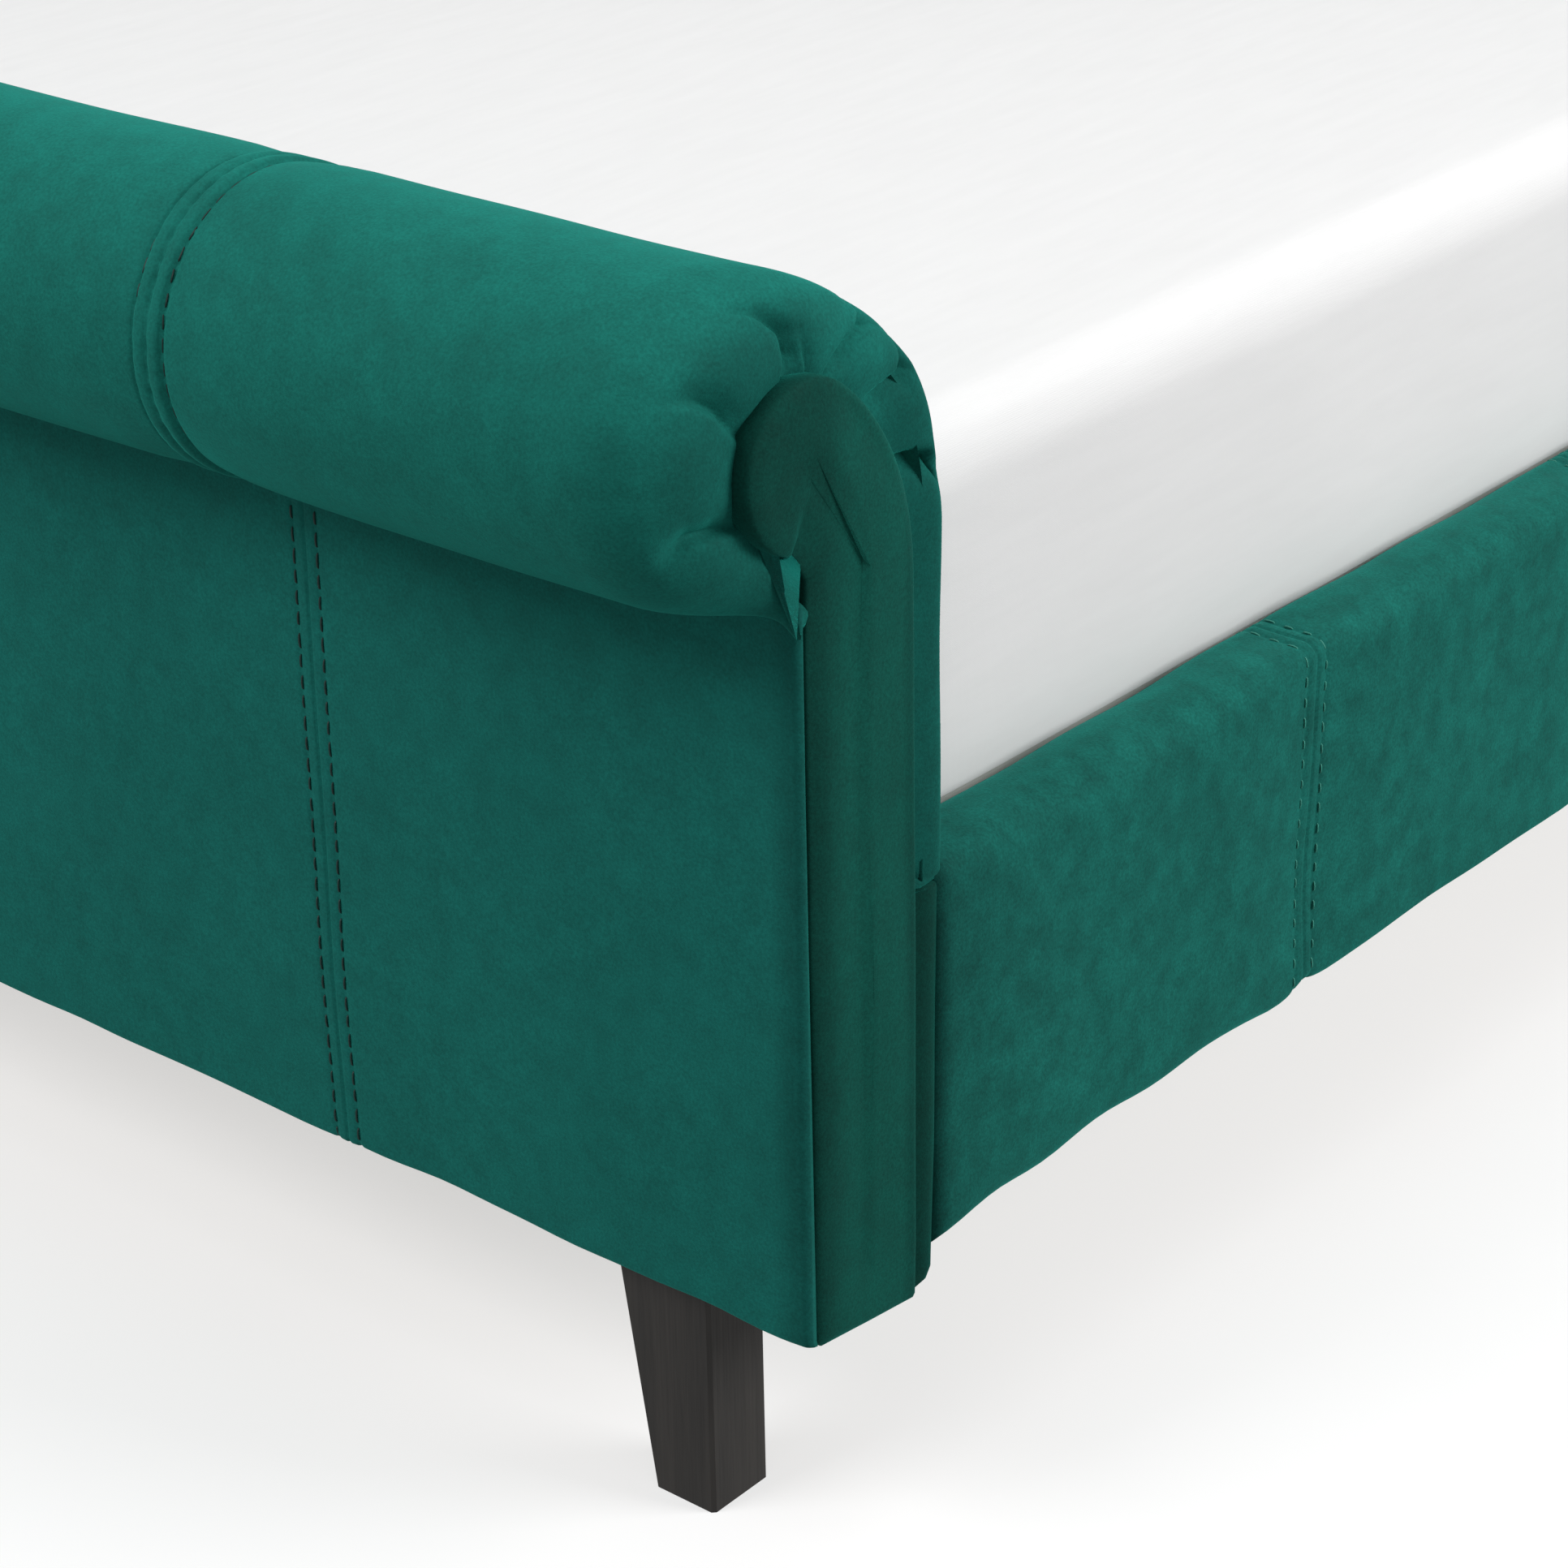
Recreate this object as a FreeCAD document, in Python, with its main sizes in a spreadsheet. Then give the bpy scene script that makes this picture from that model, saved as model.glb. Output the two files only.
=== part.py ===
import FreeCAD, Part
import os
from types import SimpleNamespace

import Sketcher
from FreeCAD import Placement, Rotation, Vector

# A king-size scroll bed: an upholstered footboard and a taller headboard whose tops roll outwards,
# padded side rails, a slatted base with a centre rail, tapered legs, and a mattress in a fitted sheet.
# Millimetres. +Z is up, +Y points from the foot to the head, and the origin is on the floor at the middle.

DRIVING_SIZES = [
    ("bed_width", 1640, "over the two facings"),
    ("face_reach", 1128, "middle of the bed to the outer face of either end board"),
    ("board_bottom", 145, "underside of the end boards, the legs' height"),
    ("foot_roll_height", 613, "centre of the footboard's roll above the floor"),
    ("head_roll_height", 1100, "centre of the headboard's roll above the floor"),
    ("roll_radius", 80, "padded roll"),
    ("roll_offset", 12, "centre of the roll outside the outer face"),
    ("crown_radius", 151.2, "padded curve from the roll down to the inner face"),
    ("crown_drop", 68, "centre of that curve below the roll's centre"),
    ("crown_join", 76.4, "where that curve leaves the roll, above the roll's centre"),
    ("inner_face", 118, "outer face to the padded inner face"),
    ("scroll_radius", 40, "facing's rolled head"),
    ("scroll_inset", 10, "centre of the facing's head inside the outer face"),
    ("scroll_drop", 10, "centre of the facing's head below the roll's centre"),
    ("shoulder_radius", 135.4, "facing's curve from its head down to its inner edge"),
    ("shoulder_drop", 83, "centre of that curve below the roll's centre"),
    ("shoulder_join", 30.6, "where that curve leaves the facing's head, above the head's centre"),
    ("facing_inner", 84, "outer face to the facing's inner edge"),
    ("facing_start", 2, "outer face to the facing's outer edge"),
    ("facing_pad", 18, "thickness of a padded facing"),
    ("facing_board", 6, "plywood under a facing"),
    ("facing_hang", 4, "facing below the board's underside"),
    ("board_wrap", 3, "padding that wraps over the edges of the boards"),
    ("cloth_gap", 0.5, "between a wrapped board and its neighbour"),
    ("close_fit", 0.2, "between parts that are glued or dropped into each other"),
    ("pad_end_gap", 2, "roll's padding short of the facings"),
    ("hollow_depth", 40, "hollow of the roll's padding below the shoulder curve's centre"),
    ("inner_ease", 12, "upright corners of the padded inner face"),
    ("panel_thickness", 18, "keyhole end panels and scroll ribs"),
    ("outer_pad", 14, "foam and cloth on the outer face"),
    ("sheet_board", 6, "thin boards under the padding"),
    ("mount_board", 24, "timber that the side rails bolt to"),
    ("cover_thickness", 8, "cloth and wadding over the mounting board"),
    ("cross_seam", 355, "height of the seam across the inner face"),
    ("cover_hang", 17, "lower inner cover below the board's underside"),
    ("post_width", 62, "corner post along X"),
    ("post_depth", 60, "corner post along Y"),
    ("frame_drop", 2, "top of the posts below the shoulder curve's centre"),
    ("rail_set", 2, "cross rails behind the posts' front"),
    ("rail_depth", 56, "bottom rail along Y"),
    ("rail_height", 58, "cross rails of the end boards"),
    ("bar_radius", 14, "round bar through the scroll ribs"),
    ("skin_thickness", 3, "bent plywood round the scroll"),
    ("side_top", 365, "top of the padded side rail"),
    ("side_bottom", 142, "underside of the padded side rail"),
    ("side_outer", 812, "middle of the bed to the side rail's padded face"),
    ("side_inner", 758, "middle of the bed to the side rail's inner face"),
    ("side_board", 25, "timber of the side rail"),
    ("side_pad", 17, "padding on the side rail's outer face"),
    ("side_wrap", 12, "padding over the side rail's top and inner edge"),
    ("side_under", 6, "padding under the side rail"),
    ("side_ease", 8, "rounded top edges of the side rail's padding"),
    ("side_hook", 26, "inner edge of the side rail's padding above the ledger"),
    ("ledger_short", 30, "slat ledger short of the side rail's ends"),
    ("ledger_width", 35, "slat ledger along X"),
    ("ledger_height", 40, "slat ledger along Z"),
    ("ledger_top", 280, "height of the slat ledgers and of the centre rail"),
    ("centre_width", 40, "centre rail and support legs"),
    ("fit_gap", 0.3, "between the end boards and what stands between them"),
    ("plate_thickness", 3, "steel brackets"),
    ("bracket_arm", 60, "each arm of a corner bracket"),
    ("bracket_bottom", 165, "underside of the corner brackets"),
    ("bracket_height", 75, "corner bracket along Z"),
    ("bolt_radius", 4, "bracket and leg bolts"),
    ("bolt_length", 75, "bracket bolts under the head"),
    ("bolt_side", 20, "bracket bolts inside the side rail's inner face"),
    ("bolt_head", 5, "height of a bolt's head"),
    ("bolt_rim", 3, "bolt's head beyond its shank"),
    ("leg_bolt_length", 80, "leg bolts"),
    ("leg_bolt_bite", 35, "leg bolt inside the leg"),
    ("screw_radius", 2.2, "wood screws"),
    ("screw_bite", 16, "wood screws inside the timber"),
    ("screw_head", 2, "height of a screw's head"),
    ("screw_rim", 2.3, "screw's head beyond its shank"),
    ("saddle_ear", 28, "centre bracket's plate beside its cradle"),
    ("saddle_below", 12, "centre bracket's plate below the centre rail"),
    ("saddle_above", 2, "centre bracket's plate above the centre rail"),
    ("saddle_depth", 55, "cradle along Y"),
    ("saddle_lip", 8, "cradle's walls below the centre rail's top"),
    ("slat_width", 63, "bowed slats along Y"),
    ("slat_thickness", 8, "bowed slats"),
    ("slat_rise", 12, "bow of a slat"),
    ("slat_foot", 286, "height of a slat's underside at its ends"),
    ("slat_start", 6, "middle of the bed to a slat's inner end"),
    ("slat_end", 750, "middle of the bed to a slat's outer end"),
    ("slat_row", 1876, "first slat to the last, centre to centre"),
    ("slat_count", 15, "slats in each row"),
    ("holder_width", 81, "slat holder along Y"),
    ("holder_height", 18, "slat holder along Z"),
    ("holder_wall", 3.5, "slat holder's floor and back"),
    ("holder_roof", 2, "slat holder over the slat"),
    ("holder_grip", 28, "slat inside its side holder"),
    ("holder_half", 32, "middle of the bed to the centre holder's outer end"),
    ("slat_slip", 0.4, "slot beside a slat"),
    ("slat_end_slip", 0.5, "slot beyond a slat's end"),
    ("leg_top", 64, "corner leg along X at the top"),
    ("leg_foot", 41, "corner leg along X at the floor"),
    ("leg_depth", 44, "corner leg along Y"),
    ("leg_side", 83, "corner leg inside the facing"),
    ("leg_inset", 15, "corner leg inside the outer face"),
    ("leg_ease", 2, "eased edges of the legs"),
    ("support_reach", 345, "middle of the bed to each support leg"),
    ("support_bottom", 20, "underside of the support legs"),
    ("stud_radius", 5, "levelling foot's threaded stud"),
    ("stud_clearance", 0.08, "round the stud"),
    ("stud_top", 85, "height of the stud's upper end"),
    ("foot_radius", 20, "levelling foot's pad"),
    ("foot_height", 8, "levelling foot's pad"),
    ("foot_edge", 2, "bevel of the pad's lower edge"),
    ("foot_shoulder", 3, "height of the pad's sloping top"),
    ("foot_slope", 5, "width of the pad's sloping top"),
    ("nut_rim", 4, "nut beyond the stud"),
    ("nut_height", 6, "nut on the pad"),
    ("bore_end", 2, "bore above the stud's upper end"),
    ("mattress_width", 1500, "king size"),
    ("mattress_length", 2000, "king size"),
    ("mattress_bottom", 306.5, "on the crowns of the slats"),
    ("mattress_height", 245, "casing"),
    ("mattress_wall", 28, "comfort layers round the spring space"),
    ("mattress_corner", 60, "upright corners of the mattress"),
    ("mattress_edge", 32, "top and bottom edges of the mattress"),
    ("linen_thickness", 1.5, "fitted sheet"),
    ("linen_gap", 0.3, "fitted sheet to the mattress"),
    ("linen_hem", 12, "hem above the mattress's underside"),
]

BOLT_RISES = (20, 55)       # bracket bolts above the bracket's underside
SCREW_RISES = (18, 57)      # bracket screws above the bracket's underside
SCREW_REACHES = (22, 46)    # bracket screws from the end board
BOARD_GAP = 1               # between boards and pads that meet end to end
CUT_PAST = 1                # cutting solids run past what they cut
KEEP_PAST = 50              # the sheet's bounding solid runs past the sheet
TOUCH = 0.01                # places nearer than this count as the same
NEAR_RIM = 0.1              # an edge nearer than this to the top or bottom belongs to it

doc = FreeCAD.newDocument("ScrollBed")
sheet = doc.addObject("Spreadsheet::Sheet", "Sizes")
for row, (alias, value, meaning) in enumerate(DRIVING_SIZES, start=1):
    sheet.set(f"A{row}", alias)
    sheet.set(f"B{row}", str(value))
    sheet.setAlias(f"B{row}", alias)
    sheet.set(f"C{row}", meaning)


class Size:
    """A length known as a number and as an expression on the sheet."""

    def __init__(self, value, text):
        self.value = value
        self.text = text

    def joined(self, sign, other, value):
        return Size(value, f"({self.text} {sign} {other.text})")

    def __add__(self, other):
        other = as_size(other)
        return self.joined("+", other, self.value + other.value)

    def __sub__(self, other):
        other = as_size(other)
        return self.joined("-", other, self.value - other.value)

    def __mul__(self, other):
        other = as_size(other)
        return self.joined("*", other, self.value * other.value)

    def __truediv__(self, other):
        other = as_size(other)
        return self.joined("/", other, self.value / other.value)

    def __neg__(self):
        return Size(-self.value, f"(-1 * {self.text})")


def as_size(value):
    return value if isinstance(value, Size) else Size(value, f"({value})")


sz = SimpleNamespace(**{alias: Size(value, f"Sizes.{alias}") for alias, value, _ in DRIVING_SIZES})
subparts = {}


def bind(thing, prop, size):
    thing.setExpression(prop, as_size(size).text)


def place(thing, x=0, y=0, z=0):
    for letter, size in zip("xyz", (x, y, z)):
        bind(thing, f"Placement.Base.{letter}", size)


def publish(label, thing):
    """Names a finished sub-part; the label is its file's name."""
    thing.Label = label
    subparts[label] = thing
    return thing


# ---------------------------------------------------------------- solids from primitives


def box(name, x, y, z):
    """A box between two bounds along each axis."""
    block = doc.addObject("Part::Box", name)
    for prop, (low, high) in zip(("Length", "Width", "Height"), (x, y, z)):
        bind(block, prop, as_size(high) - low)
    place(block, x[0], y[0], z[0])
    return block


TURN_TO_AXIS = {
    "x": Rotation(Vector(0, 1, 0), 90),
    "y": Rotation(Vector(1, 0, 0), -90),
    "z": Rotation(),
}


def rod(name, axis, radius, start, length):
    """A cylinder from a start point along +X, +Y or +Z."""
    bar = doc.addObject("Part::Cylinder", name)
    bar.Placement = Placement(Vector(), TURN_TO_AXIS[axis])
    bind(bar, "Radius", radius)
    bind(bar, "Height", length)
    place(bar, *start)
    return bar


def fuse(name, *pieces):
    joined = doc.addObject("Part::MultiFuse", name)
    joined.Shapes = list(pieces)
    return joined


def common(name, first, second):
    shared = doc.addObject("Part::Common", name)
    shared.Base = first
    shared.Tool = second
    return shared


def cut(name, base, tool):
    rest = doc.addObject("Part::Cut", name)
    rest.Base = base
    rest.Tool = tool
    return rest


def group(name, pieces):
    together = doc.addObject("Part::Compound", name)
    together.Links = list(pieces)
    return together


def eased(name, base, radius, wanted):
    """The base with the edges that wanted(edge) picks rounded."""
    doc.recompute()
    rounded = doc.addObject("Part::Fillet", name)
    rounded.Base = base
    edges = enumerate(base.Shape.Edges, start=1)
    rounded.Edges = [(index, radius.value, radius.value) for index, edge in edges if wanted(edge)]
    return rounded


def runs_along(edge, axis):
    """True for a straight edge parallel to an axis."""
    if not isinstance(edge.Curve, Part.Line):
        return False
    return abs(getattr(edge.Curve.Direction, axis)) > 0.999


# ---------------------------------------------------------------- bodies from sketches


def new_body(name):
    return doc.addObject("PartDesign::Body", name)


def origin_feature(body, role):
    return next(feature for feature in body.Origin.OriginFeatures if feature.Role == role)


def sketch_on(body, name, plane, lift=0):
    sketch = body.newObject("Sketcher::SketchObject", name)
    sketch.AttachmentSupport = [(origin_feature(body, plane), "")]
    sketch.MapMode = "FlatFace"
    bind(sketch, "AttachmentOffset.Base.z", lift)
    return sketch


def fix_point(sketch, geometry, position, across, up):
    """Holds one point of a sketch at a place bound to the sheet."""
    for kind, size in (("DistanceX", as_size(across)), ("DistanceY", as_size(up))):
        distance = Sketcher.Constraint(kind, -1, 1, geometry, position, float(size.value))
        index = sketch.addConstraint(distance)
        bind(sketch, f"Constraints[{index}]", size)


def polygon(sketch, points):
    """A closed outline of straight lines through points given as (across, up) sizes."""
    corners = [Vector(as_size(across).value, as_size(up).value, 0) for across, up in points]
    count = len(corners)
    for index in range(count):
        sketch.addGeometry(Part.LineSegment(corners[index], corners[(index + 1) % count]), False)
    for index in range(count):
        sketch.addConstraint(Sketcher.Constraint("Coincident", index, 2, (index + 1) % count, 1))
    for index, (across, up) in enumerate(points):
        fix_point(sketch, index, 1, across, up)
    return sketch


def rectangle(sketch, across, up):
    corners = [(across[0], up[0]), (across[1], up[0]), (across[1], up[1]), (across[0], up[1])]
    return polygon(sketch, corners)


def circles(sketch, centres, radius):
    for index, (across, up) in enumerate(centres):
        centre = Vector(as_size(across).value, as_size(up).value, 0)
        sketch.addGeometry(Part.Circle(centre, Vector(0, 0, 1), radius.value), False)
        fix_point(sketch, index, 3, across, up)
        size = sketch.addConstraint(Sketcher.Constraint("Radius", index, radius.value))
        bind(sketch, f"Constraints[{size}]", radius)
    return sketch


def pad(body, name, sketch, length, side="One side"):
    solid = body.newObject("PartDesign::Pad", name)
    solid.Profile = sketch
    solid.SideType = side
    bind(solid, "Length", length)
    return solid


def pocket(body, name, sketch):
    """Cuts a sketch through the whole body, both ways from its plane, and checks that it cut."""
    before = body.Tip
    hollow = body.newObject("PartDesign::Pocket", name)
    hollow.Profile = sketch
    hollow.Type = "ThroughAll"
    hollow.SideType = "Symmetric"
    doc.recompute()
    if hollow.Shape.Volume >= before.Shape.Volume:
        raise RuntimeError(f"{name} cut nothing")
    return hollow


def row_along_y(body, name, feature, length, count):
    """Repeats a feature along +Y, centre to centre over a length."""
    pattern = body.newObject("PartDesign::LinearPattern", name)
    pattern.Originals = [feature]
    pattern.Direction = (origin_feature(body, "Y_Axis"), [""])
    bind(pattern, "Length", length)
    bind(pattern, "Occurrences", count)
    body.Tip = pattern
    return pattern


# ---------------------------------------------------------------- end boards


class End:
    """One end of the bed. Depths are measured from its outer face towards the mattress."""

    def __init__(self, name, side, roll_height):
        self.name = name
        self.side = side
        self.roll = roll_height

    def y(self, depth):
        """The bed's Y at one depth."""
        return (sz.face_reach - depth) if self.side > 0 else (as_size(depth) - sz.face_reach)

    def span(self, near, far):
        """The bed's Y bounds between two depths."""
        return (self.y(far), self.y(near)) if self.side > 0 else (self.y(near), self.y(far))


FOOT = End("foot", -1, sz.foot_roll_height)
HEAD = End("head", 1, sz.head_roll_height)
SIDES = {"left": -1, "right": 1}

half_width = sz.bed_width / 2
facing_base = half_width - sz.facing_pad
panel_outer = facing_base - sz.facing_board
panel_inner = panel_outer - sz.panel_thickness
board_end = panel_outer - sz.cloth_gap
post_front = sz.outer_pad + sz.sheet_board
post_back = post_front + sz.post_depth
mount_back = post_back + sz.mount_board
cover_back = mount_back + sz.cover_thickness
inner_pad_start = post_back + sz.sheet_board
rail_gap = cover_back + sz.fit_gap


def mirrored_span(side, low, high):
    """X bounds on one side of the bed, from distances to its middle."""
    return (low, high) if side > 0 else (-as_size(high), -as_size(low))


def scroll_outline(end, name, x, inset, low, stem):
    """A keyhole-shaped slab: a rolled head, a shoulder curve and a straight stem."""
    width = as_size(x[1]) - x[0]
    shoulder_y = sz.facing_inner - sz.shoulder_radius
    head = rod(
        f"{name}_head",
        "x",
        sz.scroll_radius - inset,
        (x[0], end.y(sz.scroll_inset), end.roll - sz.scroll_drop),
        width,
    )
    curve = rod(
        f"{name}_curve",
        "x",
        sz.shoulder_radius - inset,
        (x[0], end.y(shoulder_y), end.roll - sz.shoulder_drop),
        width,
    )
    window = box(
        f"{name}_window",
        x,
        end.span(sz.facing_start + inset + BOARD_GAP, sz.facing_inner - inset),
        (end.roll - sz.shoulder_drop, end.roll - sz.scroll_drop + sz.shoulder_join - inset),
    )
    shoulder = common(f"{name}_shoulder", curve, window)
    upright = box(f"{name}_stem", x, end.span(*stem), (low, end.roll - sz.shoulder_drop))
    return fuse(name, head, shoulder, upright)


def padded_roll(end):
    """The padded roll with its hollow for the scroll."""
    prefix = f"{end.name}_roll"
    reach = facing_base - sz.pad_end_gap
    x = (-reach, reach)
    crown_y = sz.inner_face - sz.crown_radius
    crown_z = end.roll - sz.crown_drop
    roll_start = (-reach, end.y(-sz.roll_offset), end.roll)
    roll = rod(f"{prefix}_round", "x", sz.roll_radius, roll_start, reach * 2)
    crown_start = (-reach, end.y(crown_y), crown_z)
    curve = rod(f"{prefix}_curve", "x", sz.crown_radius, crown_start, reach * 2)
    window = box(
        f"{prefix}_window",
        x,
        end.span(0, sz.inner_face),
        (crown_z, end.roll + sz.crown_join),
    )
    outside = fuse(f"{prefix}_outside", roll, common(f"{prefix}_crown", curve, window))
    hollow = scroll_outline(
        end,
        f"{prefix}_hollow",
        (-reach - CUT_PAST, reach + CUT_PAST),
        sz.board_wrap - sz.cloth_gap,
        end.roll - sz.shoulder_drop - sz.hollow_depth,
        (0, sz.facing_inner + BOARD_GAP),
    )
    return publish(f"{end.name}_roll_pad", cut(f"{prefix}_pad", outside, hollow))


def end_bolt_holes(end, name):
    """Cylinders where the bracket bolts run through an end board."""
    deep = sz.bolt_length - sz.plate_thickness
    start, stop = end.span(cover_back - deep, cover_back + CUT_PAST)
    pins = []
    for label, side in SIDES.items():
        for rise in BOLT_RISES:
            centre = (sz.side_inner - sz.bolt_side) * side
            pins.append(
                rod(
                    f"{name}_{label}_{rise}",
                    "y",
                    sz.bolt_radius,
                    (centre, start, sz.bracket_bottom + rise),
                    stop - start,
                )
            )
    return group(name, pins)


def end_board(end):
    """All the pieces of one end board."""
    name = end.name
    frame_top = end.roll - sz.shoulder_drop - sz.frame_drop
    post_inner = panel_inner - sz.post_width
    holes = end_bolt_holes(end, f"{name}_bolt_holes")
    posts = []
    panels = []
    boards = []
    for label, side in SIDES.items():
        post = box(
            f"{name}_post_{label}_solid",
            mirrored_span(side, post_inner, panel_inner),
            end.span(post_front, post_back),
            (sz.board_bottom, frame_top),
        )
        posts.append(cut(f"{name}_post_{label}", post, holes))
        panels.append(
            scroll_outline(
                end,
                f"{name}_end_panel_{label}",
                mirrored_span(side, panel_inner, panel_outer),
                sz.board_wrap,
                sz.board_bottom,
                (post_front, post_back),
            )
        )
        boards.append(
            scroll_outline(
                end,
                f"{name}_facing_board_{label}",
                mirrored_span(side, panel_outer, facing_base),
                sz.board_wrap,
                sz.board_bottom,
                (sz.facing_start + sz.board_wrap, sz.facing_inner - sz.board_wrap),
            )
        )
        facing = scroll_outline(
            end,
            f"{name}_facing_{label}",
            mirrored_span(side, facing_base, half_width),
            0,
            sz.board_bottom - sz.facing_hang,
            (sz.facing_start, sz.facing_inner),
        )
        publish(f"{name}_facing_{label}", facing)
    publish(f"{name}_posts", group(f"{name}_posts", posts))
    publish(f"{name}_end_panels", group(f"{name}_end_panels", panels))
    publish(f"{name}_facing_boards", group(f"{name}_facing_boards", boards))

    across = (-post_inner, post_inner)
    rail_front = post_front + sz.rail_set
    rail_y = end.span(rail_front, rail_front + sz.rail_depth)
    lower_z = (sz.board_bottom, sz.board_bottom + sz.rail_height)
    lower = box(f"{name}_lower_solid", across, rail_y, lower_z)
    leg_holes = group(
        f"{name}_leg_holes",
        [leg_bolt(f"{name}_leg_hole_{label}", end, side) for label, side in SIDES.items()],
    )
    rails = [
        cut(f"{name}_bottom_rail", lower, leg_holes),
        box(f"{name}_top_rail", across, rail_y, (frame_top - sz.rail_height, frame_top)),
    ]
    if end is HEAD:
        middle = (sz.board_bottom + frame_top) / 2
        middle_z = (middle, middle + sz.rail_height)
        rails.append(box(f"{name}_middle_rail", across, rail_y, middle_z))
    publish(f"{name}_cross_rails", group(f"{name}_cross_rails", rails))

    bar_z = end.roll - sz.scroll_drop
    bar = rod(
        f"{name}_scroll_bar",
        "x",
        sz.bar_radius,
        (-panel_inner, end.y(sz.scroll_inset), bar_z),
        panel_inner * 2,
    )
    ribs = []
    for number, centre in enumerate((-sz.side_inner / 2, as_size(0), sz.side_inner / 2), start=1):
        rib = scroll_outline(
            end,
            f"{name}_rib_{number}_solid",
            (centre - sz.panel_thickness / 2, centre + sz.panel_thickness / 2),
            sz.board_wrap + sz.skin_thickness + sz.close_fit,
            frame_top,
            (post_front, post_back),
        )
        ribs.append(cut(f"{name}_rib_{number}", rib, bar))
    publish(f"{name}_scroll_ribs", group(f"{name}_scroll_ribs", ribs))
    publish(f"{name}_scroll_bar", bar)
    skin_x = (-panel_inner, panel_inner)
    stem = (post_front, post_back)
    outside = scroll_outline(end, f"{name}_skin_outside", skin_x, sz.board_wrap, frame_top, stem)
    lining = sz.board_wrap + sz.skin_thickness
    inside = scroll_outline(end, f"{name}_skin_inside", skin_x, lining, frame_top, stem)
    shell = cut(f"{name}_skin_shell", outside, inside)
    keep = box(
        f"{name}_skin_keep",
        skin_x,
        end.span(-sz.roll_radius, sz.inner_face),
        (end.roll - sz.scroll_drop, end.roll + sz.roll_radius),
    )
    publish(f"{name}_scroll_skin", common(f"{name}_scroll_skin", shell, keep))

    wide = (-board_end, board_end)
    pad_top = end.roll - sz.shoulder_drop - BOARD_GAP
    outer_pad_z = (sz.board_bottom - sz.board_wrap, pad_top)
    outer_board_z = (sz.board_bottom, pad_top)
    above_seam = sz.cross_seam + BOARD_GAP
    publish(
        f"{name}_outer_pad",
        box(f"{name}_outer_pad", wide, end.span(0, sz.outer_pad), outer_pad_z),
    )
    publish(
        f"{name}_outer_board",
        box(f"{name}_outer_board", wide, end.span(sz.outer_pad, post_front), outer_board_z),
    )
    mount = box(
        f"{name}_mount_solid",
        wide,
        end.span(post_back, mount_back),
        (sz.board_bottom, sz.cross_seam),
    )
    publish(f"{name}_mount_board", cut(f"{name}_mount_board", mount, holes))
    side_out = (-sz.side_outer, sz.side_outer)
    cover = box(
        f"{name}_cover_solid",
        side_out,
        end.span(mount_back, cover_back),
        (sz.board_bottom - sz.cover_hang, sz.cross_seam),
    )
    publish(f"{name}_lower_cover", cut(f"{name}_lower_cover", cover, holes))
    publish(
        f"{name}_inner_board",
        box(f"{name}_inner_board", wide, end.span(post_back, inner_pad_start), (above_seam, pad_top)),
    )
    inner = box(
        f"{name}_inner_solid",
        side_out,
        end.span(inner_pad_start, sz.inner_face),
        (above_seam, end.roll - sz.crown_drop - BOARD_GAP),
    )

    def is_inner_corner(edge):
        on_face = abs(edge.CenterOfMass.y - end.y(sz.inner_face).value) < TOUCH
        return on_face and runs_along(edge, "z")

    publish(f"{name}_inner_pad", eased(f"{name}_inner_pad", inner, sz.inner_ease, is_inner_corner))
    padded_roll(end)


def leg_bolt(name, end, side):
    """A leg's bolt, from inside the leg up into the bottom rail."""
    centre_x = (half_width - sz.leg_side - sz.leg_top / 2) * side
    centre_y = end.y(sz.leg_inset + sz.leg_depth / 2)
    start = (centre_x, centre_y, sz.board_bottom - sz.leg_bolt_bite)
    return rod(name, "z", sz.bolt_radius, start, sz.leg_bolt_length)


def corner_leg(end, label, side):
    """A square leg that tapers only on the side that faces the middle of the bed."""
    name = f"{end.name}_leg_{label}"
    leg = new_body(name)
    half = sz.leg_depth / 2
    profile = polygon(
        sketch_on(leg, f"{name}_profile", "XZ_Plane"),
        [
            (as_size(0), as_size(0)),
            (as_size(0), sz.board_bottom),
            (-sz.leg_top, sz.board_bottom),
            (-sz.leg_foot, as_size(0)),
        ],
    )
    taper = pad(leg, f"{name}_taper", profile, sz.leg_depth, "Symmetric")
    doc.recompute()
    uprights = [
        f"Edge{index}"
        for index, edge in enumerate(taper.Shape.Edges, start=1)
        if edge.BoundBox.ZLength > sz.board_bottom.value / 2
    ]
    ease = leg.newObject("PartDesign::Chamfer", f"{name}_eased")
    ease.Base = (taper, uprights)
    bind(ease, "Size", sz.leg_ease)
    hole = circles(
        sketch_on(leg, f"{name}_hole", "XY_Plane", sz.board_bottom),
        [(-sz.leg_top / 2, as_size(0))],
        sz.bolt_radius,
    )
    doc.recompute()
    bored = leg.newObject("PartDesign::Pocket", f"{name}_bored")
    bored.Profile = hole
    bind(bored, "Length", sz.leg_bolt_bite)
    doc.recompute()
    if bored.Shape.Volume >= ease.Shape.Volume:
        raise RuntimeError(f"{name} has no bolt hole")
    if side < 0:
        leg.Placement = Placement(Vector(), Rotation(Vector(0, 0, 1), 180))
    place(leg, (half_width - sz.leg_side) * side, end.y(sz.leg_inset + half), 0)
    publish(name, leg)


# ---------------------------------------------------------------- side rails


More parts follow.
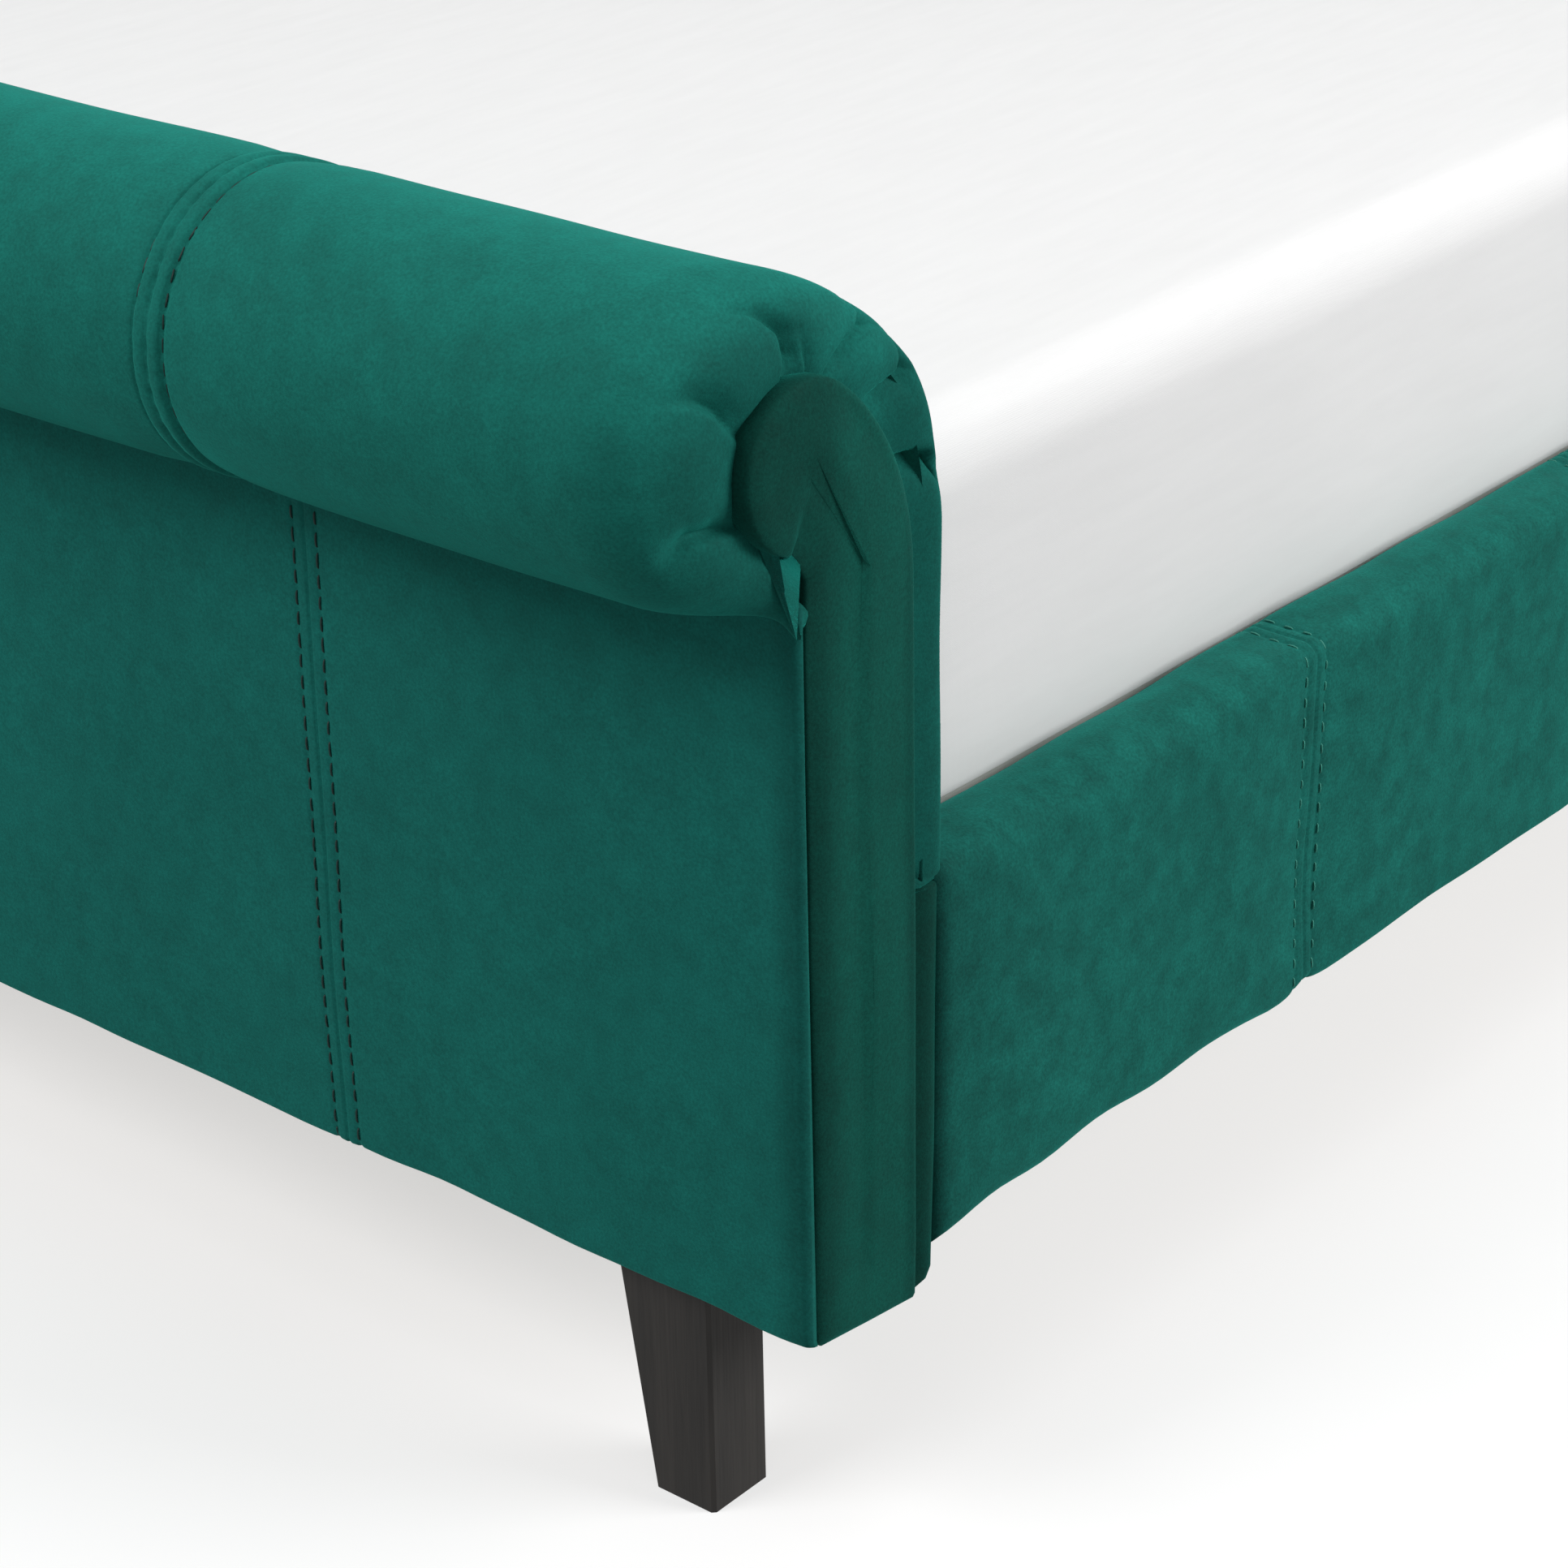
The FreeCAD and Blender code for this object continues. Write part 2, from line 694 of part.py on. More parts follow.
def side_rail(label, side):
    """A timber rail with a padded velvet cover hooked over its top, and the ledger for the slats."""
    board_outer = sz.side_outer - sz.side_pad
    board_inner = board_outer - sz.side_board
    y = (rail_gap - sz.face_reach, sz.face_reach - rail_gap)
    board_z = (sz.side_bottom + sz.side_under, sz.side_top - sz.side_wrap)
    board = box(f"rail_board_{label}", mirrored_span(side, board_inner, board_outer), y, board_z)
    publish(f"rail_board_{label}", board)
    pad_reach = sz.face_reach - sz.inner_face - sz.fit_gap
    outside = box(
        f"rail_pad_{label}_outside",
        mirrored_span(side, sz.side_inner, sz.side_outer),
        (-pad_reach, pad_reach),
        (sz.side_bottom, sz.side_top),
    )
    room = box(
        f"rail_pad_{label}_room",
        mirrored_span(side, sz.side_inner - CUT_PAST, board_inner),
        (y[0] - CUT_PAST, y[1] + CUT_PAST),
        (sz.side_bottom - CUT_PAST, sz.ledger_top + sz.side_hook),
    )
    slot = box(
        f"rail_pad_{label}_slot",
        mirrored_span(side, board_inner - TOUCH, board_outer),
        (y[0] - CUT_PAST, y[1] + CUT_PAST),
        board_z,
    )

    def is_top_edge(edge):
        return runs_along(edge, "y") and abs(edge.CenterOfMass.z - sz.side_top.value) < TOUCH

    rounded = eased(f"rail_pad_{label}_rounded", outside, sz.side_ease, is_top_edge)
    publish(
        f"rail_pad_{label}",
        cut(f"rail_pad_{label}", rounded, fuse(f"rail_pad_{label}_space", room, slot)),
    )
    ledger = box(
        f"slat_ledger_{label}",
        mirrored_span(side, board_inner - sz.ledger_width, board_inner),
        (y[0] + sz.ledger_short, y[1] - sz.ledger_short),
        (sz.ledger_top - sz.ledger_height, sz.ledger_top),
    )
    publish(f"slat_ledger_{label}", ledger)


def corner_bracket(end, label, side, board_inner):
    """An angle plate: one arm bolts to the end board, the other is screwed to the side rail."""
    name = f"{end.name}_bracket_{label}"
    plate = sz.plate_thickness
    arm = sz.bracket_arm
    bracket = new_body(name)
    profile = polygon(
        sketch_on(bracket, f"{name}_profile", "XY_Plane"),
        [
            (as_size(0), as_size(0)),
            (-arm, as_size(0)),
            (-arm, plate),
            (-plate, plate),
            (-plate, arm),
            (as_size(0), arm),
        ],
    )
    pad(bracket, f"{name}_angle", profile, sz.bracket_height)
    doc.recompute()
    across = sz.side_inner - sz.bolt_side - board_inner
    bolts = [(across, as_size(rise)) for rise in BOLT_RISES]
    bolt_holes = sketch_on(bracket, f"{name}_bolt_holes", "XZ_Plane")
    pocket(bracket, f"{name}_bolted", circles(bolt_holes, bolts, sz.bolt_radius))
    screws = [(as_size(along), as_size(rise)) for along in SCREW_REACHES for rise in SCREW_RISES]
    screw_holes = sketch_on(bracket, f"{name}_screw_holes", "YZ_Plane")
    pocket(bracket, f"{name}_screwed", circles(screw_holes, screws, sz.screw_radius))
    turn = {(-1, 1): 0, (1, -1): 180}.get((end.side, side))
    if turn is None:
        bracket = mirrored_bracket(name, bracket)
        turn = 0 if end.side < 0 else 180
    bracket.Placement = Placement(Vector(), Rotation(Vector(0, 0, 1), turn))
    place(bracket, board_inner * side, end.y(rail_gap), sz.bracket_bottom)
    return bracket


def mirrored_bracket(name, bracket):
    """The opposite hand of a bracket."""
    mirror = doc.addObject("Part::Mirroring", f"{name}_mirrored")
    mirror.Source = bracket
    mirror.Base = Vector(0, 0, 0)
    mirror.Normal = Vector(1, 0, 0)
    return mirror


def bracket_fasteners(board_inner):
    """Bolts through the brackets into the posts, and screws into the side rails."""
    bolts = []
    screws = []
    for end in (FOOT, HEAD):
        for label, side in SIDES.items():
            for rise in BOLT_RISES:
                bolts.append(bracket_bolt(end, label, side, rise))
            head_face = board_inner - sz.plate_thickness - sz.screw_head
            across = mirrored_span(side, head_face, board_inner + sz.screw_bite)
            for along in SCREW_REACHES:
                for rise in SCREW_RISES:
                    tag = f"{end.name}_{label}_{along}_{rise}"
                    y = end.y(rail_gap + along)
                    screws.append(wood_screw(tag, side, across, y, sz.bracket_bottom + rise))
    publish("bracket_bolts", group("bracket_bolts", bolts))
    publish("bracket_screws", group("bracket_screws", screws))


def bracket_bolt(end, label, side, rise):
    """A bolt with a round head, through a bracket and into the end board."""
    tag = f"{end.name}_{label}_{rise}"
    head_at = rail_gap + sz.plate_thickness
    centre = (sz.side_inner - sz.bolt_side) * side
    height = sz.bracket_bottom + rise
    low, high = end.span(head_at - sz.bolt_length, head_at)
    shank = rod(f"bolt_shank_{tag}", "y", sz.bolt_radius, (centre, low, height), high - low)
    low, high = end.span(head_at, head_at + sz.bolt_head)
    wide = sz.bolt_radius + sz.bolt_rim
    head = rod(f"bolt_head_{tag}", "y", wide, (centre, low, height), high - low)
    return fuse(f"bolt_{tag}", shank, head)


def wood_screw(tag, side, across, y, z):
    """A screw along X, its head on the side of the middle of the bed."""
    length = across[1] - across[0]
    shank = rod(f"screw_shank_{tag}", "x", sz.screw_radius, (across[0], y, z), length)
    head_start = across[0] if side > 0 else across[1] - sz.screw_head
    wide = sz.screw_radius + sz.screw_rim
    head = rod(f"screw_head_{tag}", "x", wide, (head_start, y, z), sz.screw_head)
    return fuse(f"screw_{tag}", shank, head)


# ---------------------------------------------------------------- slat base


def centre_rail():
    reach = sz.face_reach - rail_gap - sz.plate_thickness - BOARD_GAP
    half = sz.centre_width / 2
    z = (sz.ledger_top - sz.centre_width, sz.ledger_top)
    publish("centre_rail", box("centre_rail", (-half, half), (-reach, reach), z))


def centre_saddle(end):
    """A plate on the end board with a cradle that the centre rail drops into."""
    name = f"{end.name}_centre_bracket"
    plate = sz.plate_thickness
    half = sz.centre_width / 2
    rail_bottom = sz.ledger_top - sz.centre_width
    back = box(
        f"{name}_back",
        (-half - sz.saddle_ear, half + sz.saddle_ear),
        end.span(rail_gap, rail_gap + plate),
        (rail_bottom - sz.saddle_below, sz.ledger_top + sz.saddle_above),
    )
    cradle = box(
        f"{name}_cradle",
        (-half - plate - sz.close_fit, half + plate + sz.close_fit),
        end.span(rail_gap, rail_gap + sz.saddle_depth),
        (rail_bottom - plate, sz.ledger_top - sz.saddle_lip),
    )
    room = box(
        f"{name}_room",
        (-half - sz.close_fit, half + sz.close_fit),
        end.span(rail_gap + plate, rail_gap + sz.saddle_depth + CUT_PAST),
        (rail_bottom, sz.ledger_top),
    )
    return cut(name, fuse(f"{name}_solid", back, cradle), room)


def slat_row(label, side):
    """Bowed slats between the side holders and the centre holders."""
    name = f"slats_{label}"
    slats = new_body(name)
    sketch = sketch_on(slats, f"{name}_bow", "XZ_Plane")
    near, far = mirrored_span(side, sz.slat_start, sz.slat_end)
    middle = (near + far) / 2
    heights = (as_size(0), sz.slat_thickness)
    for low in heights:
        arc = Part.Arc(
            Vector(near.value, low.value, 0),
            Vector(middle.value, low.value + sz.slat_rise.value, 0),
            Vector(far.value, low.value, 0),
        )
        sketch.addGeometry(arc, False)
    for x in (near, far):
        top = Vector(x.value, sz.slat_thickness.value, 0)
        sketch.addGeometry(Part.LineSegment(Vector(x.value, 0, 0), top), False)
    doc.recompute()
    # an arc through three points runs anticlockwise, so its start is the right-hand end
    for line, arc_end in ((2, 2), (3, 1)):
        sketch.addConstraint(Sketcher.Constraint("Coincident", line, 1, 0, arc_end))
        sketch.addConstraint(Sketcher.Constraint("Coincident", line, 2, 1, arc_end))
    for line, x in ((2, near), (3, far)):
        fix_point(sketch, line, 1, x, as_size(0))
        fix_point(sketch, line, 2, x, heights[1])
    half_chord = (sz.slat_end - sz.slat_start) / 2
    bow = (half_chord * half_chord + sz.slat_rise * sz.slat_rise) / (sz.slat_rise * 2)
    for arc in (0, 1):
        index = sketch.addConstraint(Sketcher.Constraint("Radius", arc, bow.value))
        bind(sketch, f"Constraints[{index}]", bow)
    slat = pad(slats, f"{name}_slat", sketch, sz.slat_width, "Symmetric")
    doc.recompute()
    row_along_y(slats, f"{name}_row", slat, sz.slat_row, sz.slat_count)
    place(slats, 0, -sz.slat_row / 2, sz.slat_foot)
    publish(name, slats)


def holder_row(name, across, slots, floor):
    """Slat holders in a row: blocks on a rail with one slot for each slat's end."""
    holders = new_body(name)
    outline = rectangle(
        sketch_on(holders, f"{name}_profile", "XZ_Plane"),
        across,
        (as_size(0), sz.holder_height),
    )
    block = pad(holders, f"{name}_block", outline, sz.holder_width, "Symmetric")
    doc.recompute()
    row_along_y(holders, f"{name}_row", block, sz.slat_row, sz.slat_count)
    place(holders, 0, -sz.slat_row / 2, floor)
    half_slot = sz.slat_width / 2 + sz.slat_slip
    cutters = []
    for number, slot in enumerate(slots, start=1):
        cutter = new_body(f"{name}_slot_{number}")
        opening = rectangle(
            sketch_on(cutter, f"{name}_slot_{number}_profile", "XZ_Plane"),
            slot,
            (sz.holder_wall, sz.holder_height - sz.holder_roof),
        )
        tunnel = pad(cutter, f"{name}_slot_{number}_tunnel", opening, half_slot * 2, "Symmetric")
        doc.recompute()
        row_along_y(cutter, f"{name}_slot_{number}_row", tunnel, sz.slat_row, sz.slat_count)
        place(cutter, 0, -sz.slat_row / 2, floor)
        cutters.append(cutter)
    tool = cutters[0] if len(cutters) == 1 else group(f"{name}_slots", cutters)
    return cut(f"{name}_open", holders, tool)


def support_leg(label, side):
    """A square leg under the centre rail with a bore for its levelling foot."""
    half = sz.centre_width / 2
    centre = sz.support_reach * side
    post = box(
        f"support_leg_{label}_solid",
        (-half, half),
        (centre - half, centre + half),
        (sz.support_bottom, sz.ledger_top - sz.centre_width),
    )
    bore_radius = sz.stud_radius + sz.stud_clearance
    bore = rod(
        f"support_leg_{label}_bore",
        "z",
        bore_radius,
        (as_size(0), centre, sz.support_bottom - CUT_PAST),
        sz.stud_top + sz.bore_end - sz.support_bottom + CUT_PAST,
    )
    publish(f"support_leg_{label}", cut(f"support_leg_{label}", post, bore))

    foot = new_body(f"levelling_foot_{label}")
    nut = sz.stud_radius + sz.nut_rim
    nut_top = sz.foot_height + sz.nut_height
    section = polygon(
        sketch_on(foot, f"levelling_foot_{label}_section", "XZ_Plane"),
        [
            (as_size(0), as_size(0)),
            (sz.foot_radius - sz.foot_edge, as_size(0)),
            (sz.foot_radius, sz.foot_edge),
            (sz.foot_radius, sz.foot_height - sz.foot_shoulder),
            (sz.foot_radius - sz.foot_slope, sz.foot_height),
            (nut, sz.foot_height),
            (nut, nut_top),
            (sz.stud_radius, nut_top),
            (sz.stud_radius, sz.stud_top),
            (as_size(0), sz.stud_top),
        ],
    )
    turned = foot.newObject("PartDesign::Revolution", f"levelling_foot_{label}_turned")
    turned.Profile = section
    turned.ReferenceAxis = (section, ["V_Axis"])
    turned.Angle = 360
    place(foot, 0, centre, 0)
    publish(f"levelling_foot_{label}", foot)


# ---------------------------------------------------------------- mattress


def rounded_block(name, half_x, half_y, z, corner, edge):
    """A block with large upright corners and softer top and bottom edges."""
    block = box(f"{name}_block", (-half_x, half_x), (-half_y, half_y), z)
    upright = eased(f"{name}_upright", block, corner, lambda line: runs_along(line, "z"))
    low = z[0].value + NEAR_RIM
    high = z[1].value - NEAR_RIM

    def is_rim(line):
        room = line.BoundBox
        return room.ZLength < TOUCH and (room.ZMin < low or room.ZMax > high)

    return eased(f"{name}_rounded", upright, edge, is_rim)


def mattress():
    """A mattress casing round the space for its springs, and a fitted sheet over it."""
    half_x = sz.mattress_width / 2
    half_y = sz.mattress_length / 2
    z = (sz.mattress_bottom, sz.mattress_bottom + sz.mattress_height)
    wall = sz.mattress_wall
    casing = rounded_block("mattress", half_x, half_y, z, sz.mattress_corner, sz.mattress_edge)
    springs = box(
        "mattress_spring_space",
        (wall - half_x, half_x - wall),
        (wall - half_y, half_y - wall),
        (z[0] + wall, z[1] - wall),
    )
    publish("mattress", cut("mattress_hollow", casing, springs))
    gap = sz.linen_gap
    over = gap + sz.linen_thickness
    inner = rounded_block(
        "linen_inside",
        half_x + gap,
        half_y + gap,
        (z[0] - gap, z[1] + gap),
        sz.mattress_corner + gap,
        sz.mattress_edge + gap,
    )
    outer = rounded_block(
        "linen_outside",
        half_x + over,
        half_y + over,
        (z[0] - over, z[1] + over),
        sz.mattress_corner + over,
        sz.mattress_edge + over,
    )
    reach = half_y + KEEP_PAST
    keep = box(
        "linen_keep",
        (-reach, reach),
        (-reach, reach),
        (z[0] + sz.mattress_edge + sz.linen_hem, z[1] + KEEP_PAST),
    )
    publish("fitted_sheet", common("fitted_sheet", cut("linen_shell", outer, inner), keep))


# ---------------------------------------------------------------- the bed

leg_bolts = []
for bed_end in (FOOT, HEAD):
    end_board(bed_end)
    for hand, way in SIDES.items():
        corner_leg(bed_end, hand, way)
        leg_bolts.append(leg_bolt(f"{bed_end.name}_leg_bolt_{hand}", bed_end, way))
publish("leg_bolts", group("leg_bolts", leg_bolts))

rail_inner = sz.side_outer - sz.side_pad - sz.side_board
for hand, way in SIDES.items():
    side_rail(hand, way)
    slat_row(hand, way)
for bed_end in (FOOT, HEAD):
    brackets = [corner_bracket(bed_end, hand, way, rail_inner) for hand, way in SIDES.items()]
    publish(f"{bed_end.name}_corner_brackets", group(f"{bed_end.name}_corner_brackets", brackets))
bracket_fasteners(rail_inner)

centre_rail()
publish("centre_brackets", group("centre_brackets", [centre_saddle(bed_end) for bed_end in (FOOT, HEAD)]))
holder_tip = sz.slat_end - sz.holder_grip
side_holders = [
    holder_row(
        f"slat_holders_{hand}",
        mirrored_span(way, holder_tip, sz.slat_end + sz.holder_wall),
        [mirrored_span(way, holder_tip - CUT_PAST, sz.slat_end + sz.slat_end_slip)],
        sz.ledger_top,
    )
    for hand, way in SIDES.items()
]
publish("slat_holders_side", group("slat_holders_side", side_holders))
slot_start = sz.slat_start - sz.slat_end_slip
centre_holders = holder_row(
    "slat_holders_middle",
    (-sz.holder_half, sz.holder_half),
    [mirrored_span(way, slot_start, sz.holder_half + CUT_PAST) for way in SIDES.values()],
    sz.ledger_top,
)
publish("slat_holders_centre", centre_holders)
support_leg("front", -1)
support_leg("rear", 1)
mattress()

doc.recompute()
faulty = [thing.Label for thing in doc.Objects if {"Invalid", "Error"} & set(thing.State)]
if faulty:
    raise RuntimeError(f"failed objects: {faulty}")
for label, thing in subparts.items():
    if thing.Shape.isNull() or not thing.Shape.isValid() or not thing.Shape.Solids:
        raise RuntimeError(f"{label} has no valid solid")

os.makedirs("parts", exist_ok=True)
for label, thing in subparts.items():
    thing.Shape.exportStep(f"parts/{label}.step")
print(f"{len(subparts)} sub-parts written")
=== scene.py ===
import math

import bmesh
import bpy
import numpy as np
from mathutils import Matrix, Vector


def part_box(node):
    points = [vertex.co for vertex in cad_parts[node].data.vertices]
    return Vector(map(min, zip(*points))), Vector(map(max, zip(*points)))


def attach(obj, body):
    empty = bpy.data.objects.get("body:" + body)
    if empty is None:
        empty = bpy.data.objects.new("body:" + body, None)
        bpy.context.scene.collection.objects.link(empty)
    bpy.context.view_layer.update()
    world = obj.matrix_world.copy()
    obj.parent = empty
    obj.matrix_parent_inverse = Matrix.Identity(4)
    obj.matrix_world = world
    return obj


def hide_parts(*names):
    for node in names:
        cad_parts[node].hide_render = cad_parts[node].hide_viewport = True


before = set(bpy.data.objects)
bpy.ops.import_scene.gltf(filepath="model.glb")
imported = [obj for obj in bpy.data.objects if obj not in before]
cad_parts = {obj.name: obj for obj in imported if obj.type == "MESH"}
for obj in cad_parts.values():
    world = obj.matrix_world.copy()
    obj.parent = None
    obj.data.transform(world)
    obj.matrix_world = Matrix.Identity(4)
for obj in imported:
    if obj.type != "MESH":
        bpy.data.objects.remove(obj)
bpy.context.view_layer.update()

# Looks of the upholstered scroll bed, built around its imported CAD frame.
# Lengths are in millimetres until Board.place or MM turns them into metres.
MM = 0.001
SEED = 7

# ---------------------------------------------------------------- sizes taken from the frame
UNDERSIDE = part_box("foot_leg_right")[1].z / MM            # underside of both boards
FACE_Y = -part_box("foot_outer_pad")[0].y / MM              # outer face of each board from the middle
FACING_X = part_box("foot_facing_right")[1].x / MM          # outer plane of the keyhole facings
ROLL_R = (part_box("foot_roll_pad")[1].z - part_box("foot_roll_pad")[0].z) / MM / 2
FOOT_ROLL_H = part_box("foot_roll_pad")[1].z / MM - ROLL_R - UNDERSIDE
HEAD_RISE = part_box("head_roll_pad")[1].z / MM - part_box("foot_roll_pad")[1].z / MM
SEAM_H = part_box("foot_inner_pad")[0].z / MM - UNDERSIDE   # cross seam of the inner face

# ---------------------------------------------------------------- sizes of the sewn covers
PANELS = 5
PANEL = 2 * FACING_X / PANELS
BOARD_SEAMS = [PANEL * (i - PANELS / 2) for i in range(1, PANELS)]
RAIL_PANELS = 6
STITCH_PITCH = 11.5
STITCH_LONG = 8.0
ROW_OFFSET = 8.5                                          # stitch rows either side of a seam
THREAD_THICK = 1.0
FACE_THREAD_THICK = 1.1
RAIL_PITCH = 12.5
RAIL_LONG = 6.2
WELT_MIDDLE = 4.9                                         # each ridge of a welt from its seam
WELT_HALF = 4.7                                           # half the width of a ridge
WELT_ROW = 10.2                                           # stitch rows either side of a welt
CLOTH_FRAMES = 20                                         # steps of each cloth simulation
END_X = FACING_X - 8                                      # where the covers tuck in behind the facings


# ================================================================ numbers and grids
def waves(points, size, seed, count=7):
    """A smooth irregular value of about -1 to 1 at each point; its humps are about size apart."""
    rng = np.random.default_rng(seed)
    total = 0
    for _ in range(count):
        way = rng.normal(size=points.shape[-1])
        way *= rng.uniform(0.6, 1.5) * 2 * math.pi / size / np.linalg.norm(way)
        total = total + np.sin(points @ way + rng.uniform(0, 2 * math.pi))
    return total / math.sqrt(count * 0.7)


def bell(value, width):
    return np.exp(-((value / width) ** 2))


def normals(grid):
    """Unit normals of a grid of points, rows by columns by 3."""
    across = np.gradient(grid, axis=0)
    along = np.gradient(grid, axis=1)
    n = np.cross(across, along)
    return n / np.maximum(np.linalg.norm(n, axis=-1, keepdims=True), 1e-9)


def spaced(low, high, step, fine=(), reach=14.0, fine_step=1.1):
    """Stations from low to high about step apart, and fine_step apart within reach of each fine place."""
    stops = [low]
    while stops[-1] < high - 1e-6:
        here = stops[-1]
        near = min([abs(here + fine_step - f) for f in fine] + [1e9])
        gap = fine_step if near <= reach else min(step, max(near - reach, fine_step))
        stops.append(min(high, here + gap))
    if stops[-1] - stops[-2] < fine_step / 2:
        del stops[-2]
    return np.array(stops)


def arc(centre, radius, start, end, t):
    a = np.radians(start + (end - start) * t)
    return np.stack([centre[0] + radius * np.cos(a), centre[1] + radius * np.sin(a)], -1)


def line(start, end, t):
    return np.array(start, float) + (np.array(end, float) - np.array(start, float)) * t[:, None]


# ================================================================ meshes
def new_piece(name, verts, faces, material, smooth=True):
    mesh = bpy.data.meshes.new(name)
    mesh.from_pydata([tuple(v) for v in verts], [], faces)
    bm = bmesh.new()
    bm.from_mesh(mesh)
    bmesh.ops.recalc_face_normals(bm, faces=bm.faces)
    bm.to_mesh(mesh)
    bm.free()
    mesh.polygons.foreach_set("use_smooth", [smooth] * len(mesh.polygons))
    piece = bpy.data.objects.new(name, mesh)
    bpy.context.scene.collection.objects.link(piece)
    mesh.materials.append(material)
    return piece


def ring_loft(name, rings, material):
    """A closed skin through rings of points, rings by points by 3, with flat ends."""
    n, m = rings.shape[:2]
    faces = [
        (i * m + j, i * m + (j + 1) % m, (i + 1) * m + (j + 1) % m, (i + 1) * m + j)
        for i in range(n - 1)
        for j in range(m)
    ]
    faces += [tuple(reversed(range(m))), tuple((n - 1) * m + j for j in range(m))]
    return new_piece(name, rings.reshape(-1, 3), faces, material)


def dress(piece, body, slot, *nodes):
    """Puts a finished piece on its body, in place of CAD nodes."""
    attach(piece, body)
    if nodes:
        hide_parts(*nodes)
    return piece


def coordinates(mesh):
    co = np.zeros(len(mesh.vertices) * 3, np.float32)
    mesh.vertices.foreach_get("co", co)
    return co.reshape(-1, 3).astype(float)


def evaluated_copy(piece):
    """The piece's mesh with its modifiers in it."""
    graph = bpy.context.evaluated_depsgraph_get()
    return bpy.data.meshes.new_from_object(piece.evaluated_get(graph))


def puff(piece, pressure, cap, held=(), stiff=0.6):
    """Swells a closed form as stuffed cloth. No point moves more than cap metres; held points stay."""
    scene = bpy.context.scene
    start = coordinates(piece.data)
    cloth = piece.modifiers.new("Cloth", "CLOTH")
    settings = cloth.settings
    if len(held):
        group = piece.vertex_groups.new(name="held")
        group.add([int(i) for i in held], 1.0, "REPLACE")
        settings.vertex_group_mass = "held"
    settings.quality = 4
    settings.mass = 0.3
    settings.tension_stiffness = settings.compression_stiffness = 15
    settings.shear_stiffness = 6
    settings.bending_stiffness = stiff
    settings.use_pressure = True
    settings.uniform_pressure_force = pressure
    settings.effector_weights.gravity = 0
    cloth.collision_settings.use_collision = False
    cloth.point_cache.frame_start = 1
    cloth.point_cache.frame_end = CLOTH_FRAMES
    for step in range(1, CLOTH_FRAMES + 1):
        scene.frame_set(step)
    swollen = coordinates(evaluated_copy(piece))
    piece.modifiers.remove(cloth)
    scene.frame_set(1)
    move = swollen - start
    length = np.linalg.norm(move, axis=1, keepdims=True)
    move *= cap * np.tanh(length / cap) / np.maximum(length, 1e-9)
    piece.data.vertices.foreach_set("co", (start + move).astype(np.float32).ravel())
    piece.data.update()


# ================================================================ materials
def nodes_of(name):
    material = bpy.data.materials.new(name)
    material.use_nodes = True
    tree = material.node_tree
    shader = tree.nodes["Principled BSDF"]
    place = tree.nodes.new("ShaderNodeTexCoord").outputs["Object"]
    return material, tree, shader, place


def noise(tree, place, scale, detail=3.0, roughness=0.55, stretch=None):
    if stretch:
        mapping = tree.nodes.new("ShaderNodeMapping")
        mapping.inputs["Scale"].default_value = stretch
        tree.links.new(place, mapping.inputs["Vector"])
        place = mapping.outputs["Vector"]
    texture = tree.nodes.new("ShaderNodeTexNoise")
    texture.inputs["Scale"].default_value = scale
    texture.inputs["Detail"].default_value = detail
    texture.inputs["Roughness"].default_value = roughness
    tree.links.new(place, texture.inputs["Vector"])
    return texture.outputs["Fac"]


def ramp(tree, value, *stops):
    node = tree.nodes.new("ShaderNodeValToRGB")
    while len(node.color_ramp.elements) < len(stops):
        node.color_ramp.elements.new(0.5)
    for element, (at, colour) in zip(node.color_ramp.elements, stops):
        element.position = at
        element.color = (*colour, 1)
    tree.links.new(value, node.inputs["Fac"])
    return node.outputs["Color"]


def blend_colour(tree, share, first, second, mode="MIX"):
    node = tree.nodes.new("ShaderNodeMix")
    node.data_type = "RGBA"
    node.blend_type = mode
    for socket, value in ((node.inputs[0], share), (node.inputs[6], first), (node.inputs[7], second)):
        if isinstance(value, bpy.types.NodeSocket):
            tree.links.new(value, socket)
        else:
            socket.default_value = value if isinstance(value, float) else (*value, 1)
    return node.outputs[2]


def bump(tree, shader, height, strength, distance, base=None):
    node = tree.nodes.new("ShaderNodeBump")
    node.inputs["Strength"].default_value = strength
    node.inputs["Distance"].default_value = distance
    tree.links.new(height, node.inputs["Height"])
    if base:
        tree.links.new(base, node.inputs["Normal"])
    tree.links.new(node.outputs["Normal"], shader.inputs["Normal"])
    return node.outputs["Normal"]


def srgb(r, g, b):
    """Linear colour of a screen colour of 0 to 255."""
    return tuple(((c / 255 + 0.055) / 1.055) ** 2.4 if c > 10 else c / 3294 for c in (r, g, b))


def shade(colour, factor):
    return tuple(c * factor for c in colour)


# Where the painted shade at the bed's corners begins and is full, in metres from the middle of the bed's
# width.
PAINTED_SHADE_SIDE = (0.796, 0.808)
PAINTED_SHADE_SCALE = 0.5                                           # brings lengths along the bed into a ramp's range
# Scaled distance to the middle of the bed's length, and how much darker the painted shade makes the velvet
# there: towards each rail's end, in the gap beside each board's inner face, and on a band of each facing
# beside the outer face.
PAINTED_SHADE_DARK = (
    (0.450, 0.0), (0.5025, 0.22), (0.508, 0.42), (0.522, 0.42), (0.526, 0.0), (0.5485, 0.0), (0.553, 0.3),
)


